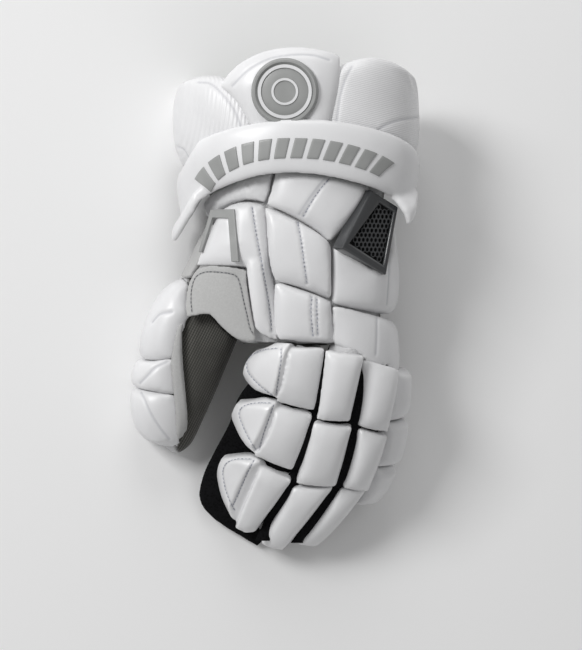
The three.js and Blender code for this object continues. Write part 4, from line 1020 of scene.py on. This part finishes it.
class GLOVE_OT_vent(bpy.types.Operator):
    """Makes the dark plastic vent: a framed plate with a net of six-sided holes over a near-black sheet of painted
    shadow
    """
    bl_idname = "glove.vent"
    bl_label = "Vent"

    def execute(self, context):
        points = points_of(frame["nodes"]["vent_grille"].data)
        axis = plate_axis(points)
        top = max(Vector(point).dot(axis) for point in points)
        rim = [self.on_plate(pixel, axis, top) for pixel in VENT_RIM]
        mouth = [self.on_plate(pixel, axis, top) for pixel in VENT_MOUTH]
        shape = bmesh.new()
        levels = [(0, -VENT_DEPTH), (0, -0.4), (0.14, 0.3), (0.75, 0.3), (1, -0.5), (1, -3.0)]
        rings = [
            [shape.verts.new(outer.lerp(inner, share) + axis * up * MM) for outer, inner in zip(rim, mouth)]
            for share, up in levels]
        join_rows(shape, rings, closed=True)
        surround = new_piece("vent_frame", shape)
        soften(surround, 0.5 * MM, 4)
        apply_modifiers(surround)
        surround.data.shade_smooth()
        stand_for(surround, "vent_plastic", ["vent_grille"])
        # Below the net, a near-black sheet is painted shadow inside the vent's mouth.
        shape = bmesh.new()
        shape.faces.new([shape.verts.new(corner - axis * 1.9 * MM) for corner in mouth])
        bmesh.ops.solidify(shape, geom=shape.faces[:], thickness=0.6 * MM)
        bmesh.ops.recalc_face_normals(shape, faces=shape.faces)
        stand_for(new_piece("vent_ground", shape), "vent_shadow")
        self.net(mouth, axis)
        return {"FINISHED"}

    def on_plate(self, pixel, axis, top):
        """The point that is seen on a pixel and lies on the upper face of the plate."""
        start, way = pixel_ray(pixel)
        return start + way * ((top - start.dot(axis)) / way.dot(axis))

    def net(self, mouth, axis):
        """A net of six-sided holes that fills the mouth of the frame."""
        pitch = sizes().vent_cell
        middle = sum(mouth, Vector()) / len(mouth)
        side = ALONG.cross(axis).normalized()
        up = axis.cross(side)
        edge = [((corner - middle).dot(side), (corner - middle).dot(up)) for corner in mouth]
        shape = bmesh.new()
        spread = pitch / math.sqrt(3)
        for row in range(-9, 10):
            for column in range(-9, 10):
                centre = ((column + row % 2 / 2) * pitch, row * pitch * math.sqrt(0.75))
                if not self.inside(centre, edge, 0.3 * pitch):
                    continue
                rings = [
                    [shape.verts.new(middle + (
                        side * (centre[0] + spread * reach * math.sin(turn * math.pi / 3))
                        + up * (centre[1] + spread * reach * math.cos(turn * math.pi / 3))
                        - axis * 0.9 * MM))
                     for turn in range(6)]
                    for reach in (1.0, 0.74)]
                for turn in range(6):
                    after = (turn + 1) % 6
                    shape.faces.new((rings[0][turn], rings[0][after], rings[1][after], rings[1][turn]))
        bmesh.ops.remove_doubles(shape, verts=shape.verts, dist=0.02 * MM)
        bmesh.ops.recalc_face_normals(shape, faces=shape.faces)
        if shape.faces[:][0].normal.dot(axis) < 0:
            bmesh.ops.reverse_faces(shape, faces=shape.faces)
        net = new_piece("vent_net", shape)
        modify(net, "wall", "SOLIDIFY", thickness=0.8 * MM, offset=-1)
        apply_modifiers(net)
        stand_for(net, "vent_plastic")

    def inside(self, place, edge, margin):
        """Whether a place lies inside an outline, a margin or more from its sides."""
        clear, odd = True, False
        for (x1, y1), (x2, y2) in zip(edge, edge[1:] + edge[:1]):
            if (y1 > place[1]) != (y2 > place[1]) and place[0] < (x2 - x1) * (place[1] - y1) / (y2 - y1) + x1:
                odd = not odd
            length = math.hypot(x2 - x1, y2 - y1)
            off = abs((x2 - x1) * (place[1] - y1) - (y2 - y1) * (place[0] - x1)) / length
            clear = clear and off > margin
        return odd and clear


class GLOVE_OT_cuff(bpy.types.Operator):
    """Makes the padded cuff with its ribbed leather, the rolled band, the lining and the round badge"""
    bl_idname = "glove.cuff"
    bl_label = "Cuff"

    def execute(self, context):
        size = sizes()
        for node, finish in zip(CUFF_PADS, ("ribbed_leather", "white_leather", "fine_ribbed_leather")):
            leather_pad(
                node, size.leather_grid * 1.15, 9, 0.5, size.swell, finish=finish,
                folds=(size.seam_width * 1.2, size.seam_depth * 0.6))
        band = soft_piece("cuff_band_leather", "cuff_band", size.leather_grid * 0.95, 2, 10, 0.5, 0.3 * MM)
        self.wrap_ends(band)
        mark_edges(band)
        stand_for(band, "white_leather", ["cuff_band"])
        lining = soft_piece("cuff_lining_cloth", "cuff_lining", size.leather_grid, 1, 6, 0.6)
        stand_for(lining, "lining_cloth", ["cuff_lining"])
        self.badge()
        self.blocks(band)
        return {"FINISHED"}

    def wrap_ends(self, band):
        """Cuts the band's pointed ends off and leads the band down the flanks of the cuff instead."""
        points = points_of(band.data)
        shape = bmesh.new()
        shape.from_mesh(band.data)
        bmesh.ops.bisect_plane(
            shape, geom=shape.verts[:] + shape.edges[:] + shape.faces[:], plane_co=BAND_CUT * MM,
            plane_no=BAND_CUT_NORMAL, clear_inner=True)
        for side, end, lean in ((-1, *BAND_ENDS[0]), (1, *BAND_ENDS[1])):
            loop = [edge for edge in shape.edges if edge.is_boundary and edge.verts[0].co.x * side > 0]
            rim = {corner for edge in loop for corner in edge.verts}
            centre = sum((corner.co for corner in rim), Vector()) / len(rim)
            steps = max(int((centre.z - end * MM) / (1.2 * MM)), 4)
            heights = np.linspace(centre.z, end * MM, steps)
            near = [points[np.abs(points[:, 2] - height) < 2 * MM, 0] * side for height in heights]
            outer = np.array([row[row > 0].max() * side for row in near])
            curve = np.polyfit(heights, outer, 2)
            start = np.polyval(curve, centre.z)
            for step in range(1, steps):
                made = bmesh.ops.extrude_edge_only(shape, edges=loop)["geom"]
                loop = [item for item in made if isinstance(item, bmesh.types.BMEdge) and item.is_boundary]
                rim = {corner for edge in loop for corner in edge.verts}
                middle = sum((corner.co for corner in rim), Vector()) / len(rim)
                slide = lean * MM * math.sin(step / (steps - 1) * math.pi / 2)
                goal = Vector((centre.x + np.polyval(curve, heights[step]) - start, centre.y - slide, heights[step]))
                left = steps - 1 - step
                shrink = 1 if left > 4 else self.rounded(5 - left) / self.rounded(4 - left)
                for corner in rim:
                    apart = corner.co - middle
                    corner.co = goal + Vector((apart.x * shrink, apart.y * (1 - (1 - shrink) * 0.4), apart.z * 0.9))
            bmesh.ops.holes_fill(shape, edges=loop)
        bmesh.ops.recalc_face_normals(shape, faces=shape.faces)
        shape.to_mesh(band.data)
        shape.free()
        relax(band.data, 8, 0.3)
        band.data.shade_smooth()

    def rounded(self, steps):
        """How wide the band's end still is, some steps into its rounding."""
        return math.sqrt(1 - (steps / 5.4) ** 2)

    def badge(self):
        """A round moulded badge: a bevelled rim, a white ring and a plain grey middle with one raised ring."""
        points = points_of(frame["nodes"]["cuff_disc"].data)
        middle = points.mean(0)
        axis = plate_axis(points)
        side = axis.cross(Vector((0, 1, 0))).normalized()
        flat = np.stack([(points - middle) @ np.array(side), (points - middle) @ np.array(axis.cross(side))], 1)
        rim = flat[np.linalg.norm(flat, axis=1) > 0.8 * np.linalg.norm(flat, axis=1).max()]
        for _ in range(4):
            sums = np.linalg.lstsq(np.column_stack([2 * rim, np.ones(len(rim))]), (rim ** 2).sum(1), rcond=None)[0]
            centre, radius = sums[:2], math.sqrt(sums[2] + sums[0] ** 2 + sums[1] ** 2)
            apart = np.abs(np.linalg.norm(flat - centre, axis=1) - radius)
            rim = flat[apart < 1.0 * MM]
        middle = middle + centre[0] * np.array(side) + centre[1] * np.array(axis.cross(side))
        high = (points - middle) @ np.array(axis)
        base = Vector(middle) + axis * high.min()
        depth = high.max() - high.min()
        white_out, white_in = radius * 0.82, radius * 0.69
        ring_out, ring_in = radius * 0.40, radius * 0.33
        lip = 0.35 * MM
        profile = [
            (0, 0), (radius, 0), (radius, depth * 0.55), (radius - lip, depth * 0.72), (radius * 0.93, depth),
            (radius * 0.88, depth), (white_out + lip, depth * 0.74), (white_out, depth * 0.66),
            (white_out - lip, depth * 0.86), (white_in + lip, depth * 0.86), (white_in, depth * 0.66),
            (white_in - lip, depth * 0.7), (ring_out + lip, depth * 0.7), (ring_out, depth * 0.86),
            (ring_in, depth * 0.86), (ring_in - lip, depth * 0.7), (0, depth * 0.7),
        ]
        shape = bmesh.new()
        corners = [shape.verts.new((across, 0, up)) for across, up in profile]
        line = [shape.edges.new(pair) for pair in zip(corners, corners[1:])]
        bmesh.ops.spin(shape, geom=corners + line, cent=(0, 0, 0), axis=(0, 0, 1), dvec=(0, 0, 0),
                       angle=math.tau, steps=96, use_merge=True, use_duplicate=False)
        bmesh.ops.remove_doubles(shape, verts=shape.verts, dist=1e-6)
        bmesh.ops.recalc_face_normals(shape, faces=shape.faces)
        for face in shape.faces:
            away = face.calc_center_median().to_2d().length
            raised = face.calc_center_median().z > depth * 0.78
            face.material_index = 1 if raised and (white_in < away < white_out or ring_in < away < ring_out) else 0
        place = Vector((0, 0, 1)).rotation_difference(axis).to_matrix().to_4x4()
        place.translation = base
        bmesh.ops.transform(shape, matrix=place, verts=shape.verts)
        colour_of_face = [face.material_index for face in shape.faces]
        badge = new_piece("badge", shape)
        badge.data.shade_smooth()
        badge.data.set_sharp_from_angle(angle=0.6)
        stand_for(badge, "grey_trim", ["cuff_disc"])
        badge.data.materials.append(finish_of("white_trim"))
        badge.data.polygons.foreach_set("material_index", colour_of_face)

    def blocks(self, band):
        """A plain row of slanted grey blocks, moulded on to the band."""
        tree = tree_of([band])
        path = smooth_line(BAND_LINE)
        shape = bmesh.new()
        start = BLOCK_GAP
        while start + BLOCK_WIDTH < len(path) - 4:
            sheet = bmesh.ops.create_grid(shape, x_segments=5, y_segments=7, size=0.5)["verts"]
            for corner in sheet:
                share = (corner.co.x + 0.5) * BLOCK_WIDTH + corner.co.y * BLOCK_SLANT
                along = min(max(start + share, 0), len(path) - 2)
                left = path[int(along)]
                way = (path[int(along) + 1] - left).normalized()
                pixel = left + way * (along - int(along)) + Vector((way.y, -way.x, 0)) * corner.co.y * BLOCK_HEIGHT
                begin, direction = pixel_ray(pixel)
                place, normal, _, _ = tree.ray_cast(begin, direction)
                if place is None:
                    raise RuntimeError(f"a block misses the band at {tuple(pixel)}")
                corner.co = place + normal * 0.15 * MM
            start += BLOCK_WIDTH + BLOCK_GAP
        bmesh.ops.recalc_face_normals(shape, faces=shape.faces)
        if sum(face.normal.z for face in shape.faces) < 0:
            bmesh.ops.reverse_faces(shape, faces=shape.faces)
        row = new_piece("band_blocks", shape)
        modify(row, "wall", "SOLIDIFY", thickness=0.8 * MM, offset=0.4)
        soften(row, 0.25 * MM, 2)
        apply_modifiers(row)
        row.data.shade_smooth()
        stand_for(row, "grey_trim")


class GLOVE_OT_palm(bpy.types.Operator):
    """Makes the palm side: the ribbed wrist pad, the elastic, the tab and the palm leather"""
    bl_idname = "glove.palm"
    bl_label = "Palm"

    def execute(self, context):
        size = sizes()
        pad = soft_piece("palm_wrist_leather", "palm_wrist_pad", size.leather_grid * 1.2, 2, 8, 0.5)
        mark_edges(pad)
        stand_for(pad, "fine_ribbed_leather", ["palm_wrist_pad"])
        for node in ("wrist_elastic", "strap_tab"):
            strip = soft_piece(f"{node}_cloth", node, size.cloth_grid, 1, 4, 0.5)
            stand_for(strip, "elastic", [node])
        for node in ("palm_heel", "palm_main", "palm_bridge", *(f"tip_patch_{finger}" for finger in FINGERS)):
            patch = soft_piece(f"{node}_leather", node, size.cloth_grid, 1, 5, 0.5)
            mark_edges(patch)
            stand_for(patch, "palm_leather", [node])
        return {"FINISHED"}


class GLOVE_OT_stage(bpy.types.Operator):
    """Makes the floor, the soft light and the camera"""
    bl_idname = "glove.stage"
    bl_label = "Stage"

    def execute(self, context):
        scene = context.scene
        shape = bmesh.new()
        bmesh.ops.create_grid(shape, x_segments=2, y_segments=2, size=6.0)
        floor = new_piece("floor", shape)
        finish = Finish("floor", Specular_IOR_Level=0.2)
        tone = finish.noise(3.0, 2.0)
        pale = tuple(colours().floor)
        finish.set("Base Color", finish.blend(tone, pale, darker(pale, 0.99)))
        finish.set("Roughness", tone * 0.05 + 0.9)
        floor.data.materials.append(finish.material)
        world = bpy.data.worlds.new("studio")
        world.use_nodes = True
        world.node_tree.nodes["Background"].inputs[0].default_value = (1, 1, 1, 1)
        world.node_tree.nodes["Background"].inputs[1].default_value = 0.30
        scene.world = world
        self.lamp("key_light", (-1.9, 1.1, 1.7), 0.9, 46)
        self.lamp("fill_light", (0.5, -0.9, 1.0), 1.2, 1.5)
        self.lamp("back_light", (-0.1, 1.2, 0.7), 0.7, 4)
        camera = bpy.data.objects.new("camera", bpy.data.cameras.new("camera"))
        scene.collection.objects.link(camera)
        camera.matrix_world = Matrix((ACROSS, ALONG, TOWARD)).transposed().to_4x4()
        camera.location = CAMERA_PLACE
        camera.data.sensor_width = 36
        camera.data.lens = 36 * CAMERA_DISTANCE / (PICTURE_MIDDLE[1] * 2 * PIXEL)
        camera.data.clip_start, camera.data.clip_end = 0.05, 20
        scene.camera = camera
        scene.view_settings.view_transform = "Standard"
        return {"FINISHED"}

    def lamp(self, name, place, size, power):
        light = bpy.data.lights.new(name, "AREA")
        light.size = size
        light.energy = power
        lamp = bpy.data.objects.new(name, light)
        bpy.context.scene.collection.objects.link(lamp)
        lamp.location = place
        lamp.rotation_euler = (-Vector(place)).to_track_quat("-Z", "Y").to_euler()


class GLOVE_PT_panel(bpy.types.Panel):
    """Lists the pieces of the glove"""
    bl_idname = "GLOVE_PT_panel"
    bl_label = "Lacrosse glove"
    bl_space_type = "VIEW_3D"
    bl_region_type = "UI"
    bl_category = "Glove"

    def draw(self, context):
        for group in (sizes(), colours()):
            for name in group.__annotations__:
                self.layout.prop(group, name)
        for operator in PIECES:
            self.layout.operator(operator.bl_idname)


PIECES = (
    GLOVE_OT_stage, GLOVE_OT_hand, GLOVE_OT_thumb, GLOVE_OT_finger_rolls, GLOVE_OT_back_pads, GLOVE_OT_thumb_side,
    GLOVE_OT_vent, GLOVE_OT_cuff, GLOVE_OT_palm,
)
CLASSES = (GloveSizes, GloveColours, *PIECES, GLOVE_PT_panel)


def register():
    for item in CLASSES:
        bpy.utils.register_class(item)
    bpy.types.Scene.glove_sizes = bpy.props.PointerProperty(type=GloveSizes)
    bpy.types.Scene.glove_colours = bpy.props.PointerProperty(type=GloveColours)


def unregister():
    del bpy.types.Scene.glove_colours
    del bpy.types.Scene.glove_sizes
    for item in reversed(CLASSES):
        bpy.utils.unregister_class(item)


def main():
    register()
    for operator in PIECES:
        family, name = operator.bl_idname.split(".")
        getattr(getattr(bpy.ops, family), name)()


if __name__ == "__main__":
    main()
